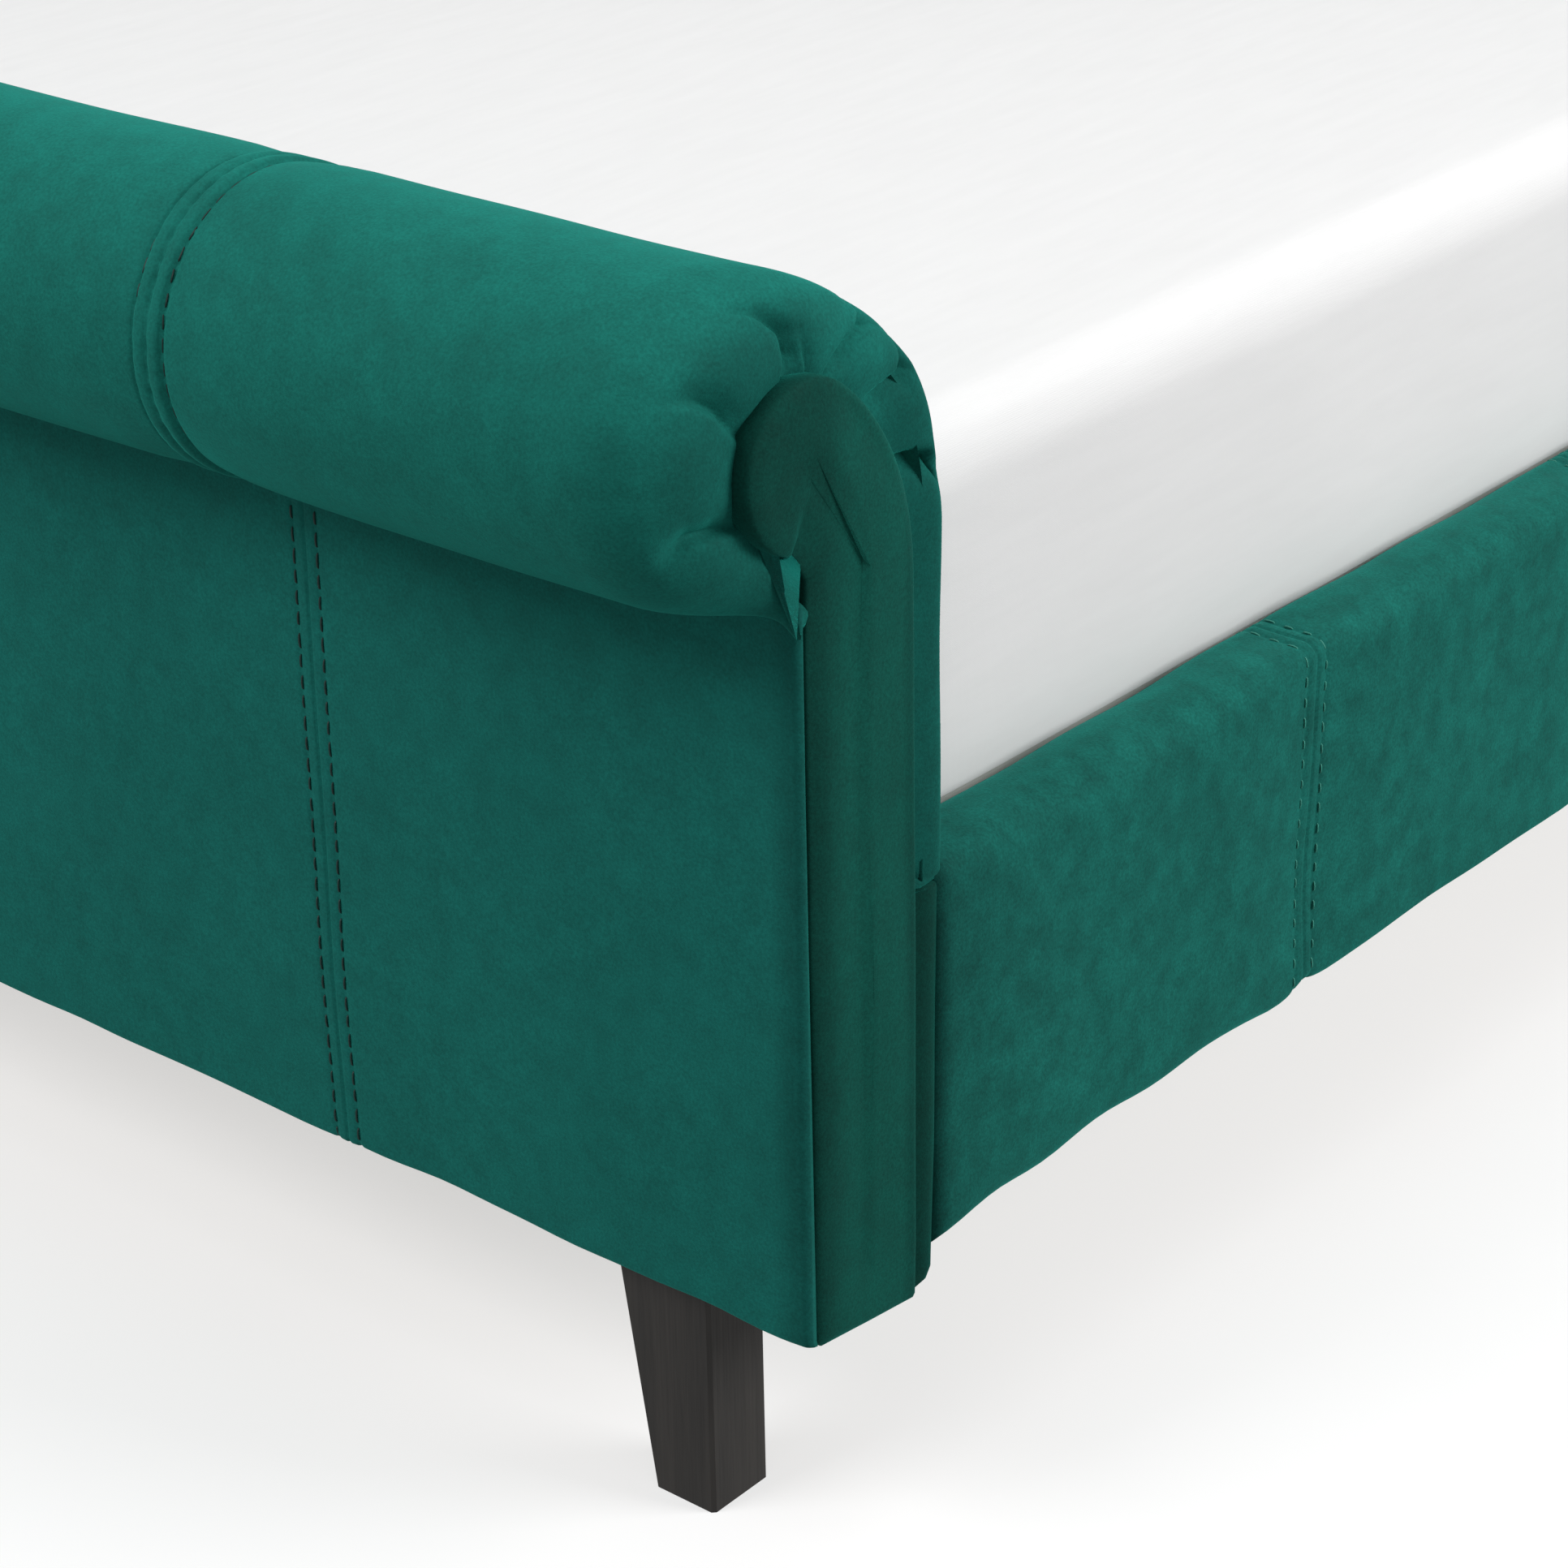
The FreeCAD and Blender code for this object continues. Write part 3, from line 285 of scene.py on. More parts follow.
def painted_corner_shade(tree, place):
    """Painted shade at the bed's corners: velvet darkened towards each rail's end, in the gap beside each
    board's inner face, and on a band of each facing beside the outer face.
    """
    split = tree.nodes.new("ShaderNodeSeparateXYZ")
    tree.links.new(place, split.inputs["Vector"])
    ranges = []
    for axis, scale in (("X", 1.0), ("Y", PAINTED_SHADE_SCALE)):
        size = tree.nodes.new("ShaderNodeMath")
        size.operation = "ABSOLUTE"
        tree.links.new(split.outputs[axis], size.inputs[0])
        fit = tree.nodes.new("ShaderNodeMath")
        fit.operation = "MULTIPLY"
        fit.inputs[1].default_value = scale
        tree.links.new(size.outputs[0], fit.inputs[0])
        ranges.append(fit.outputs[0])
    side = ramp(tree, ranges[0], (PAINTED_SHADE_SIDE[0], (0, 0, 0)), (PAINTED_SHADE_SIDE[1], (1, 1, 1)))
    along = ramp(tree, ranges[1], *((at, (1 - dark,) * 3) for at, dark in PAINTED_SHADE_DARK))
    return blend_colour(tree, side, (1.0, 1.0, 1.0), along)


def velvet(name, colour, mottle=0.16, cloud=0.10, sheen=0.4):
    """Short-pile velvet: fine nap, soft clouds where the pile lies differently, a sheen at a glance, and
    painted shade at the bed's corners.
    """
    material, tree, shader, place = nodes_of(name)
    nap = noise(tree, place, 620, 2.0, 0.6)
    patches = noise(tree, place, 55, 3.0, 0.6)
    clouds = noise(tree, place, 7, 2.0, 0.5)
    base = ramp(tree, nap, (0.30, shade(colour, 1 - mottle)), (0.70, shade(colour, 1 + mottle)))
    soft = ramp(tree, patches, (0.32, (1 - cloud,) * 3), (0.68, (1 + cloud,) * 3))
    broad = ramp(tree, clouds, (0.35, (0.93,) * 3), (0.65, (1.05,) * 3))
    base = blend_colour(tree, 1.0, base, soft, "MULTIPLY")
    base = blend_colour(tree, 1.0, base, broad, "MULTIPLY")
    # Multiplies in the painted shade at the bed's corners.
    base = blend_colour(tree, 1.0, base, painted_corner_shade(tree, place), "MULTIPLY")
    tree.links.new(base, shader.inputs["Base Color"])
    rough = ramp(tree, patches, (0.3, (0.78,) * 3), (0.7, (0.92,) * 3))
    tree.links.new(rough, shader.inputs["Roughness"])
    shader.inputs["Specular IOR Level"].default_value = 0.08
    shader.inputs["Sheen Weight"].default_value = sheen
    shader.inputs["Sheen Roughness"].default_value = 0.38
    shader.inputs["Sheen Tint"].default_value = (0.03, 0.55, 0.45, 1)
    coarse = bump(tree, shader, patches, 0.25, 0.0008)
    bump(tree, shader, noise(tree, place, 900, 3.0, 0.7), 0.5, 0.0004, coarse)
    return material


def thread(name, colour):
    material, tree, shader, place = nodes_of(name)
    twist = tree.nodes.new("ShaderNodeTexWave")
    twist.inputs["Scale"].default_value = 520
    twist.inputs["Distortion"].default_value = 1.5
    tree.links.new(place, twist.inputs["Vector"])
    ply = ramp(tree, twist.outputs["Fac"], (0.2, shade(colour, 0.7)), (0.8, shade(colour, 1.2)))
    tree.links.new(ply, shader.inputs["Base Color"])
    shader.inputs["Roughness"].default_value = 0.6
    bump(tree, shader, twist.outputs["Fac"], 0.4, 0.0002)
    return material


def cloth_weave(name, colour, thread_scale, contrast=0.03, sheen=0.1):
    """Plain woven cotton: two crossed sets of threads, with faint slubs."""
    material, tree, shader, place = nodes_of(name)
    heights = []
    for direction in ("X", "Y", "Z"):
        wave = tree.nodes.new("ShaderNodeTexWave")
        wave.bands_direction = direction
        wave.inputs["Scale"].default_value = thread_scale
        wave.inputs["Distortion"].default_value = 0.6
        tree.links.new(place, wave.inputs["Vector"])
        heights.append(wave.outputs["Fac"])
    weave = blend_colour(tree, 0.5, heights[0], heights[1])
    weave = blend_colour(tree, 0.4, weave, heights[2])
    slubs = noise(tree, place, 90, 4.0, 0.6, (1, 0.15, 1))
    tint = ramp(tree, slubs, (0.3, shade(colour, 1 - contrast)), (0.7, shade(colour, 1.0)))
    tree.links.new(tint, shader.inputs["Base Color"])
    shader.inputs["Roughness"].default_value = 0.92
    shader.inputs["Specular IOR Level"].default_value = 0.2
    shader.inputs["Sheen Weight"].default_value = sheen
    bump(tree, shader, weave, 0.25, 0.0003)
    return material


def wood(name, light, dark, grain_axis, rings=26, gloss=0.55, contrast=1.0):
    """Timber with long grain along grain_axis."""
    material, tree, shader, place = nodes_of(name)
    stretch = [1.0, 1.0, 1.0]
    stretch["XYZ".index(grain_axis)] = 0.06
    grain = noise(tree, place, rings * 3, 5.0, 0.6, stretch)
    pores = noise(tree, place, rings * 16, 3.0, 0.7, [s * (0.5 if s < 1 else 1) for s in stretch])
    tint = ramp(tree, grain, (0.32, dark), (0.68, light))
    speck = ramp(tree, pores, (0.35, (1 - 0.18 * contrast,) * 3), (0.6, (1.04,) * 3))
    tree.links.new(blend_colour(tree, 1.0, tint, speck, "MULTIPLY"), shader.inputs["Base Color"])
    rough = ramp(tree, pores, (0.3, (gloss + 0.08,) * 3), (0.7, (gloss - 0.06,) * 3))
    tree.links.new(rough, shader.inputs["Roughness"])
    bump(tree, shader, pores, 0.2, 0.0003)
    return material


def steel(name, colour, roughness, coated):
    material, tree, shader, place = nodes_of(name)
    grains = noise(tree, place, 420, 3.0, 0.6)
    tint = ramp(tree, grains, (0.3, shade(colour, 0.85)), (0.7, shade(colour, 1.15)))
    tree.links.new(tint, shader.inputs["Base Color"])
    rough = ramp(tree, grains, (0.3, (roughness + 0.1,) * 3), (0.7, (roughness - 0.08,) * 3))
    tree.links.new(rough, shader.inputs["Roughness"])
    shader.inputs["Metallic"].default_value = 0.0 if coated else 1.0
    bump(tree, shader, grains, 0.2 if coated else 0.08, 0.0003)
    return material


def plastic(name, colour):
    material, tree, shader, place = nodes_of(name)
    texture = noise(tree, place, 700, 2.0, 0.5)
    tint = ramp(tree, texture, (0.3, shade(colour, 0.85)), (0.7, shade(colour, 1.15)))
    tree.links.new(tint, shader.inputs["Base Color"])
    shader.inputs["Roughness"].default_value = 0.48
    bump(tree, shader, texture, 0.15, 0.0002)
    return material


VELVET_ROLL = velvet("velvet_roll", srgb(22, 104, 94))
VELVET_FACE = velvet("velvet_face", srgb(22, 101, 93))
VELVET_FACING = velvet("velvet_facing", srgb(13, 75, 65), mottle=0.2)
VELVET_RAIL = velvet("velvet_rail", srgb(21, 93, 84), mottle=0.22, cloud=0.2)
# Dark thread; on the rolls' welts it is partly painted shade of the puckered creases.
DARK_THREAD_AND_CREASE_SHADE = thread("dark_thread_and_crease_shade", srgb(9, 48, 43))
THREAD_LIGHT = thread("thread_light", srgb(44, 138, 122))
LINEN = cloth_weave("sheet_cotton", srgb(229, 229, 229), 420)
TICKING = cloth_weave("mattress_ticking", srgb(224, 222, 216), 260, 0.06)
DARK_WOOD = wood("leg_dark_stain", srgb(52, 49, 46), srgb(40, 38, 36), "Z", 40, 0.5, 0.6)
BIRCH = wood("slat_birch", srgb(226, 200, 158), srgb(204, 172, 126), "X", 18)
PINE = wood("frame_pine", srgb(222, 188, 134), srgb(194, 150, 98), "Z", 12)
PINE_Y = wood("rail_pine", srgb(222, 188, 134), srgb(194, 150, 98), "Y", 12)
PLY = wood("board_plywood", srgb(212, 184, 140), srgb(186, 154, 110), "X", 9)
BLACK_PLASTIC = plastic("black_plastic", srgb(34, 34, 36))
BLACK_STEEL = steel("black_steel", srgb(38, 38, 40), 0.5, True)
ZINC = steel("zinc_steel", srgb(190, 192, 196), 0.32, False)


# ================================================================ the boards' cross-section
ROLL_C = (-12.0, FOOT_ROLL_H)
CROWN_R = 151.2
CROWN_C = (-33.2, FOOT_ROLL_H - 68)
KNOB_R = 40.0                                             # head of the keyhole facing
KNOB_C = (10.0, FOOT_ROLL_H - 10)
SHOULDER_R = 135.4
SHOULDER_C = (-51.4, FOOT_ROLL_H - 83)
INNER_D = CROWN_C[0] + CROWN_R                            # inner face of the board
EDGE_D = SHOULDER_C[0] + SHOULDER_R                       # inner edge of the facing
CROWN_TURN = 72.7                                         # where the roll and the crown meet
KNOB_TURN = 49.9                                          # where the facing's head and shoulder meet
FLAP = 0.28                                               # share of the underside that ends as a loose flap
FLAP_TURN = -81.4 - 98.6 * FLAP
FLAP_LOW = (-2.0, FOOT_ROLL_H - 89)
FLAP_HIGH = (4.0, FOOT_ROLL_H - 52)

# Key places along the cover: lip under the roll, leftmost, top, crown, inner face, cross seam.
# At each: how far in from the end it starts to curl, how square the curl is, and how it swells.
CURL_AT = (0, 1, 1.9, 2.4, 3.0, 3.4, 4.0, 5.0)
CURL_REACH = (50, 56, 56, 44, 32, 24, 17, 14)
CURL_POWER = (0.85, 0.85, 0.85, 0.80, 0.70, 0.60, 0.56, 0.56)
CURL_SWELL = (0, 0, 0, 2, 6, 9, 5, 2)
UNDER_FACING = 7.0                                        # how far a cover reaches in under the facing
COVER_THICK = 13.0
# How deep the cloth dives beside a facing, and how abruptly; the loose flap stands out instead.
TUCK_AT = (0, 0.26, 0.36, 3.0, 3.7, 5.0)
TUCK_DEEP = (-5, -4, 8, 8, 15, 15)
TUCK_POWER = (9, 9, 9, 9, 3.2, 3.2)
# Pleats at each end: (place along the cover, share of the way round the curl), from tip to facing.
PLEATS = (
    ((0.70, 0.42), (0.77, 0.66), (0.75, 0.84), (0.69, 1.0)),
    ((1.38, 0.46), (1.45, 0.62), (1.46, 0.78), (1.36, 1.0)),
    ((1.86, 0.44), (2.00, 0.55), (2.14, 0.70), (2.10, 0.86), (1.92, 1.0)),
    ((2.96, 0.12), (3.08, 0.38), (3.05, 0.66), (2.97, 1.0)),
    ((3.18, 0.20), (3.34, 0.42), (3.36, 0.64), (3.28, 1.0)),
    ((3.84, 0.22), (3.80, 0.36), (3.72, 0.68), (3.62, 1.0)),
)


class Board:
    """The footboard or the headboard. side is -1 at the foot and 1 at the head."""

    def __init__(self, name, side, rise):
        self.name = name
        self.side = side
        self.rise = rise

    def place(self, points):
        """World metres of points given as x, depth in from the outer face, height over the underside."""
        x, d, h = points[..., 0], points[..., 1], points[..., 2]
        return np.stack([x, self.side * (FACE_Y - d), h + UNDERSIDE], -1) * MM

    def cover_outline(self, roll_step, straight_step):
        """Points round the roll and down the inner face, those of the facing's edge they are pulled
        to, and their places on the key scale."""
        up = np.array([0, self.rise])
        parts = []

        def add(key, length, step, outer, edge):
            t = np.arange(max(2, round(length / step))) / max(2, round(length / step))
            parts.append((key + t, outer(t) + up, edge(t) + up))

        quarter = math.pi / 2 * ROLL_R
        add(0, FLAP * 1.09 * quarter, roll_step, lambda t: arc(ROLL_C, ROLL_R, -81.4, FLAP_TURN, t),
            lambda t: line(FLAP_LOW, FLAP_HIGH, t))
        parts[-1] = (parts[-1][0] * FLAP, *parts[-1][1:])
        add(0, (1 - FLAP) * 1.09 * quarter, roll_step, lambda t: arc(ROLL_C, ROLL_R, FLAP_TURN, -180, t),
            lambda t: arc(KNOB_C, KNOB_R, -104, -180, t))
        parts[-1] = (FLAP + parts[-1][0] * (1 - FLAP), *parts[-1][1:])
        add(1, quarter, roll_step, lambda t: arc(ROLL_C, ROLL_R, -180, -270, t),
            lambda t: arc(KNOB_C, KNOB_R, -180, -270, t))
        add(2, 24, roll_step, lambda t: arc(ROLL_C, ROLL_R, -270, CROWN_TURN - 360, t),
            lambda t: arc(KNOB_C, KNOB_R, 90, 70, t))
        parts[-1] = (2 + (parts[-1][0] - 2) * 0.31, *parts[-1][1:])
        add(2, 54, roll_step, lambda t: arc(CROWN_C, CROWN_R, CROWN_TURN, 52, t),
            lambda t: arc(KNOB_C, KNOB_R, 70, KNOB_TURN, t))
        parts[-1] = (2.31 + (parts[-1][0] - 2) * 0.69, *parts[-1][1:])
        add(3, 137, roll_step, lambda t: arc(CROWN_C, CROWN_R, 52, 0, t),
            lambda t: arc(SHOULDER_C, SHOULDER_R, KNOB_TURN, 0, t))
        low = SEAM_H - self.rise + 3
        add(4, CROWN_C[1] - low, straight_step, lambda t: line((INNER_D, CROWN_C[1]), (INNER_D, low), t),
            lambda t: line((EDGE_D, SHOULDER_C[1]), (EDGE_D, low), t))
        for inset, drop in ((0, 0), (1, 2), (12, 3)):
            parts.append((np.array([5.0]), np.array([[INNER_D - inset, low - drop]]) + up,
                          np.array([[EDGE_D - inset, low - drop]]) + up))
        keys, outer, edge = (np.concatenate([p[i] for p in parts]) for i in range(3))
        tucked = np.interp(keys, (0, FLAP, FLAP + 0.1, 4, 5), (0, 0, 1, 1, 1))[:, None]
        return keys, outer, edge - outward(edge) * UNDER_FACING * tucked


def outward(outline):
    """Unit vectors out of a clockwise outline."""
    way = np.gradient(outline, axis=0)
    way /= np.maximum(np.linalg.norm(way, axis=1, keepdims=True), 1e-9)
    return np.stack([-way[:, 1], way[:, 0]], -1)


def curled(keys, outer, edge, turns):
    """Half-end of a cover, from flat (turn 0) to tucked in at the facing (turn 1): x, depth, height."""
    angle = turns[:, None] * math.pi / 2
    power = np.interp(keys, CURL_AT, CURL_POWER)
    reach = np.interp(keys, CURL_AT, CURL_REACH)
    swell = np.interp(keys, CURL_AT, CURL_SWELL) * np.sin(2 * angle)
    dive = np.interp(keys, TUCK_AT, TUCK_DEEP) * turns[:, None] ** np.interp(keys, TUCK_AT, TUCK_POWER)
    x = END_X - reach * (1 - np.sin(angle) ** power) - dive
    share = (1 - np.cos(angle) ** power)[..., None]
    flat = outer + (edge - outer) * share + outward(outer) * swell[..., None]
    return np.concatenate([x[..., None], flat], -1)


def pleat_relief(grid, keys, turns):
    """How far each point of a curled end is pulled in by the pleats, in millimetres."""
    step = np.linalg.norm(np.gradient(grid, axis=1), axis=-1)
    per_key = np.gradient(keys)[None, :]
    relief = np.zeros(grid.shape[:2])
    for number, pleat in enumerate(PLEATS):
        places, shares = np.array(pleat).T
        at = np.interp(turns, shares, places)[:, None]
        apart = (keys[None, :] - at) / np.maximum(per_key, 1e-6) * step
        grow = np.clip((turns - shares[0] + 0.03) / 0.30, 0, 1)[:, None]
        grow = grow * grow * (3 - 2 * grow)
        lap = np.where(apart > 0, bell(apart, 8.0), bell(apart, 2.6))
        relief += grow * (6.0 * lap + 2.5 * bell(apart, 16) + 1.5 * bell(apart, 1.8))
    return relief * np.interp(turns, (0.86, 1.0), (1.0, 0.15))[:, None]


def welt(x, run, seam, height=2.6):
    """Raised double welt of a seam: two rounded ridges, a crease between, puckered edges."""
    beat = np.sin(2 * math.pi * run / STITCH_PITCH + seam) * 0.35
    beat = beat + waves(run[..., None], 37, int(seam) % 97) * 0.25
    away = x - seam - waves(run[..., None], 210, int(seam) % 89 + 3) * 0.8
    ridges = 0
    for middle in (-WELT_MIDDLE, WELT_MIDDLE):
        across = (away - middle) / (WELT_HALF + beat)
        ridges = ridges + np.sqrt(np.clip(1 - across ** 2, 0, 1))
    dip = 3.2 * bell(away, 24) + 1.5 * bell(np.abs(away) - 10.4, 1.3)
    return height * ridges - dip


def flat_seam(x, run, seam):
    """A topstitched seam: a fine crease, and the cloth drawn in along both rows of stitches."""
    away = x - seam - waves(run[..., None], 260, int(seam) % 83 + 5) * 1.0
    beat = 0.75 + 0.25 * np.sin(2 * math.pi * run / STITCH_PITCH)
    rows = bell(np.abs(away) - ROW_OFFSET, 1.6) * beat
    return 0.5 * bell(away, 7) - 1.5 * bell(away, 0.9) - 1.1 * rows - 1.0 * bell(away, 24)


def run_along(grid):
    """Distance along each row of a grid, in the grid's units."""
    steps = np.linalg.norm(np.diff(grid, axis=1), axis=-1)
    return np.concatenate([np.zeros((len(grid), 1)), np.cumsum(steps, axis=1)], axis=1)


def row_on(grid, x_of, x):
    """The line across a grid at a given x: points and normals, in the grid's units."""
    skin = normals(grid)
    i = int(np.clip(np.searchsorted(x_of, x) - 1, 0, len(x_of) - 2))
    t = (x - x_of[i]) / (x_of[i + 1] - x_of[i])
    return grid[i] + (grid[i + 1] - grid[i]) * t, skin[i] + (skin[i + 1] - skin[i]) * t


# ================================================================ stitches
def stitch_mesh(verts, faces, start, end, out, thick):
    """One thread that comes up out of the cloth, lies along it and goes down again."""
    along = end - start
    length = np.linalg.norm(along)
    along = along / length
    side = np.cross(along, out)
    side /= np.linalg.norm(side)
    base = len(verts)
    profile = (
        (0.0, -0.5, 0.75), (0.12, 0.10, 1.0), (0.5, 0.35, 1.05), (0.88, 0.10, 1.0), (1.0, -0.5, 0.75),
    )
    sides = 6
    for share, lift, wide in profile:
        middle = start + along * length * share + out * thick * lift
        for k in range(sides):
            a = 2 * math.pi * k / sides
            verts.append(middle + thick / 2 * wide * (side * math.cos(a) + out * math.sin(a)))
    for r in range(len(profile) - 1):
        for k in range(sides):
            a, b = base + r * sides + k, base + r * sides + (k + 1) % sides
            faces.append((a, b, b + sides, a + sides))
    faces.append(tuple(base + k for k in reversed(range(sides))))
    faces.append(tuple(base + (len(profile) - 1) * sides + k for k in range(sides)))


def stitch_row(verts, faces, path, skin, pitch, long, thick, seed, spare=0.0):
    """Stitches of a row that follows path, a line of points, each lying on the cloth."""
    rng = np.random.default_rng(seed)
    run = np.concatenate([[0], np.cumsum(np.linalg.norm(np.diff(path, axis=0), axis=1))])
    at = spare + pitch * 0.3

    def on(distance):
        point = np.array([np.interp(distance, run, path[:, k]) for k in range(3)])
        out = np.array([np.interp(distance, run, skin[:, k]) for k in range(3)])
        return point, out / max(np.linalg.norm(out), 1e-9)

    while at + long < run[-1] - spare:
        start, out_a = on(at)
        end, out_b = on(at + long * rng.uniform(0.9, 1.08))
        stitch_mesh(verts, faces, start, end, (out_a + out_b) / 2, thick)
        at += pitch * rng.uniform(0.95, 1.05)


# ================================================================ roll covers
def roll_cover(board):
    """Padded roll with the inner face below it: one sewn cover, pleated in round both facings."""
    keys, outer, edge = board.cover_outline(2.3, 8.0)
    turns = np.linspace(1, 0, 34)
    end = curled(keys, outer, edge, turns)
    flat_x = spaced(-END_X + max(CURL_REACH), END_X - max(CURL_REACH), 15, BOARD_SEAMS, 15.0, 1.15)
    middle = np.concatenate(
        [np.broadcast_to(flat_x[:, None, None], (len(flat_x), len(keys), 1)),
         np.broadcast_to(outer, (len(flat_x), *outer.shape))], -1)
    mirror = np.array([-1, 1, 1])
    relief_end = pleat_relief(end, keys, turns)
    joined = turns > 0.001
    end_rows = int(joined.sum())
    grid = np.concatenate([end[joined] * mirror, middle, end[joined][::-1]])
    relief = np.concatenate([relief_end[joined], np.zeros(middle.shape[:2]), relief_end[joined][::-1]])
    run = run_along(grid)
    lift = -relief
    for seam in BOARD_SEAMS:
        lift = lift + welt(grid[..., 0], run, seam)
    fade = np.clip((5.0 - keys) / 0.08, 0, 1)
    lift = lift + (waves(grid, 300, SEED) * 0.5 + waves(grid, 100, SEED + 1) * 0.2) * fade
    skin = normals(grid)
    centre = np.array([0, CROWN_C[0] + 60, CROWN_C[1] + board.rise])
    skin *= np.sign(((grid - centre) * skin)[..., 1:].sum(-1).mean())
    lining_of = np.unique(np.linspace(0, len(keys) - 1, 60).astype(int))[::-1]
    thickness = np.full((len(grid), 1, 1), COVER_THICK)
    thickness[:end_rows, 0, 0] = np.interp(turns[joined], (0.8, 1.0), (COVER_THICK, 3.0))
    thickness[-end_rows:] = thickness[:end_rows][::-1]
    lining = grid[:, lining_of] - skin[:, lining_of] * thickness
    grid = grid + skin * lift[..., None]
    rings = board.place(np.concatenate([grid, lining], axis=1))
    cover = ring_loft(f"{board.name}_roll_cover", rings, VELVET_ROLL)
    return cover, grid, skin


def roll_stitches(board, grid, skin):
    """Stitches that hold both edges of each welt down: dark thread whose dashes are partly painted shade of
    the puckered creases.
    """
    verts, faces = [], []
    flat = slice(33, len(grid) - 33)
    x_of = grid[flat][:, :, 0].mean(axis=1)
    world = board.place(grid)[flat]
    for n, seam in enumerate(BOARD_SEAMS):
        for m, side in enumerate((-1, 1)):
            path, _ = row_on(world, x_of, seam + side * WELT_ROW)
            _, out = row_on(grid[flat], x_of, seam + side * WELT_ROW)
            out = np.stack([out[:, 0], -board.side * out[:, 1], out[:, 2]], -1)
            centre = board.place(np.array([seam, 20, ROLL_C[1] + board.rise - 40]))
            out *= np.sign((out * (path - centre)).sum(-1).mean())
            # Dark thread in the outer crease of each ridge, partly painted shade of the puckers.
            stitch_row(verts, faces, path, out, STITCH_PITCH * MM, STITCH_LONG * MM, THREAD_THICK * MM,
                       SEED + n * 2 + m, 0.004)
    return new_piece(f"{board.name}_roll_stitches", verts, faces, DARK_THREAD_AND_CREASE_SHADE)


# ================================================================ outer faces
FACE_X = FACING_X - 4.5
FACE_THICK = 12.0
FACE_ROUND = 4.5
FACE_UNDERCUT = 9.0                                       # the pad's back edge, in from its rim


def face_pad(board):
    """Padded outer face: five panels with topstitched seams, edges rounded back."""
    top, bottom = 391 + board.rise, -3.0
    heights = np.linspace(top, bottom + FACE_ROUND, round((top - bottom) / 7))
    corner = arc((FACE_ROUND, bottom + FACE_ROUND), FACE_ROUND, -180, -270, np.linspace(0, 1, 7)[1:])
    corner[:, 1] = 2 * (bottom + FACE_ROUND) - corner[:, 1]
    front = np.concatenate([np.stack([0 * heights, heights], -1), corner])
    back_heights = np.concatenate([[bottom + 1], np.linspace(bottom + 20, top, 12)])
    back = np.stack([np.full(13, FACE_THICK), back_heights], -1)
    flat_x = spaced(-FACE_X + 30, FACE_X - 30, 14, BOARD_SEAMS, 13.0, 1.0)
    turns = np.linspace(0, 1, 9)[1:]
    end_x = np.concatenate([np.linspace(FACE_X - 26, FACE_X - FACE_ROUND, 4),
                            FACE_X - FACE_ROUND + FACE_ROUND * np.sin(turns * math.pi / 2)])
    end_in = np.concatenate([np.zeros(4), FACE_ROUND * (1 - np.cos(turns * math.pi / 2))])
    xs = np.concatenate([-end_x[::-1], flat_x, end_x])
    inward = np.concatenate([end_in[::-1], 0 * flat_x, end_in])
    grid = np.zeros((len(xs), len(front), 3))
    grid[..., 0] = xs[:, None]
    grid[..., 1] = front[:, 0] + inward[:, None] * (1 - front[:, 0] / FACE_THICK)
    grid[..., 2] = front[:, 1]
    sag = np.interp(front[:, 1], [bottom, 40], [1, 0])
    hem = waves(grid[..., :1], 240, SEED + 20) * 1.4 + waves(grid[..., :1], 90, SEED + 21) * 0.6
    grid[..., 2] += sag * hem
    run = run_along(grid)
    lift = waves(grid, 330, SEED + 22) * 0.8 + waves(grid, 120, SEED + 23) * 0.35
    for seam in BOARD_SEAMS:
        lift = lift + flat_seam(grid[..., 0], run, seam)
    lift *= np.interp(np.abs(xs), [FACE_X - 14, FACE_X], [1, 0])[:, None]
    skin = normals(grid)
    skin *= -np.sign(skin[len(xs) // 2, len(front) // 2, 1])
    grid = grid + skin * lift[..., None]
    backs = np.zeros((len(xs), len(back), 3))
    tucked_x = np.clip(xs, FACE_UNDERCUT - FACE_X, FACE_X - FACE_UNDERCUT)
    backs[..., 0], backs[..., 1], backs[..., 2] = tucked_x[:, None], back[:, 0], back[:, 1]
    rings = board.place(np.concatenate([grid, backs], axis=1))
    pad = ring_loft(f"{board.name}_face_pad", rings, VELVET_FACE)
    return pad, grid, skin, xs


def face_stitches(board, grid, skin, xs):
    verts, faces = [], []
    world = board.place(grid)
    for n, seam in enumerate(BOARD_SEAMS):
        for m, side in enumerate((-1, 1)):
            path, _ = row_on(world, xs, seam + side * ROW_OFFSET)
            drift = waves(run_along(grid)[len(xs) // 2][:, None], 260, int(seam) % 83 + 5) * 1.0 * MM
            path[:, 0] += drift
            path[:, 1] += board.side * 0.0004
            out = np.tile([0.0, float(board.side), 0.0], (len(path), 1))
            stitch_row(verts, faces, path, out, STITCH_PITCH * MM, STITCH_LONG * MM, FACE_THREAD_THICK * MM,
                       SEED + 40 + n * 2 + m)
    return new_piece(f"{board.name}_face_stitches", verts, faces, DARK_THREAD_AND_CREASE_SHADE)


# ================================================================ keyhole facings
FACING_BACK = FACING_X - 18


FACING_OUT = 1.5                                          # the cloth's thickness round the facing board
FACING_START = 9.0                                        # slot behind the outer face's edge
FACING_INSETS = (0, 0.3, 0.9, 1.8, 3, 4.6, 6.6, 9.2, 12.5, 16.5, 21, 26, 31, 35.5)
# Stretches of the outline: head, shoulder, inner edge, foot, outer edge.
FACING_COUNTS = (60, 59, 89, 15, 90)
FACING_ROUND = (7, 5, 4, 7, 16)                           # how far in from the rim the edge is rounded
FACING_FALL = (5, 4, 3.5, 5, 7)                           # how far back the rim lies behind the middle


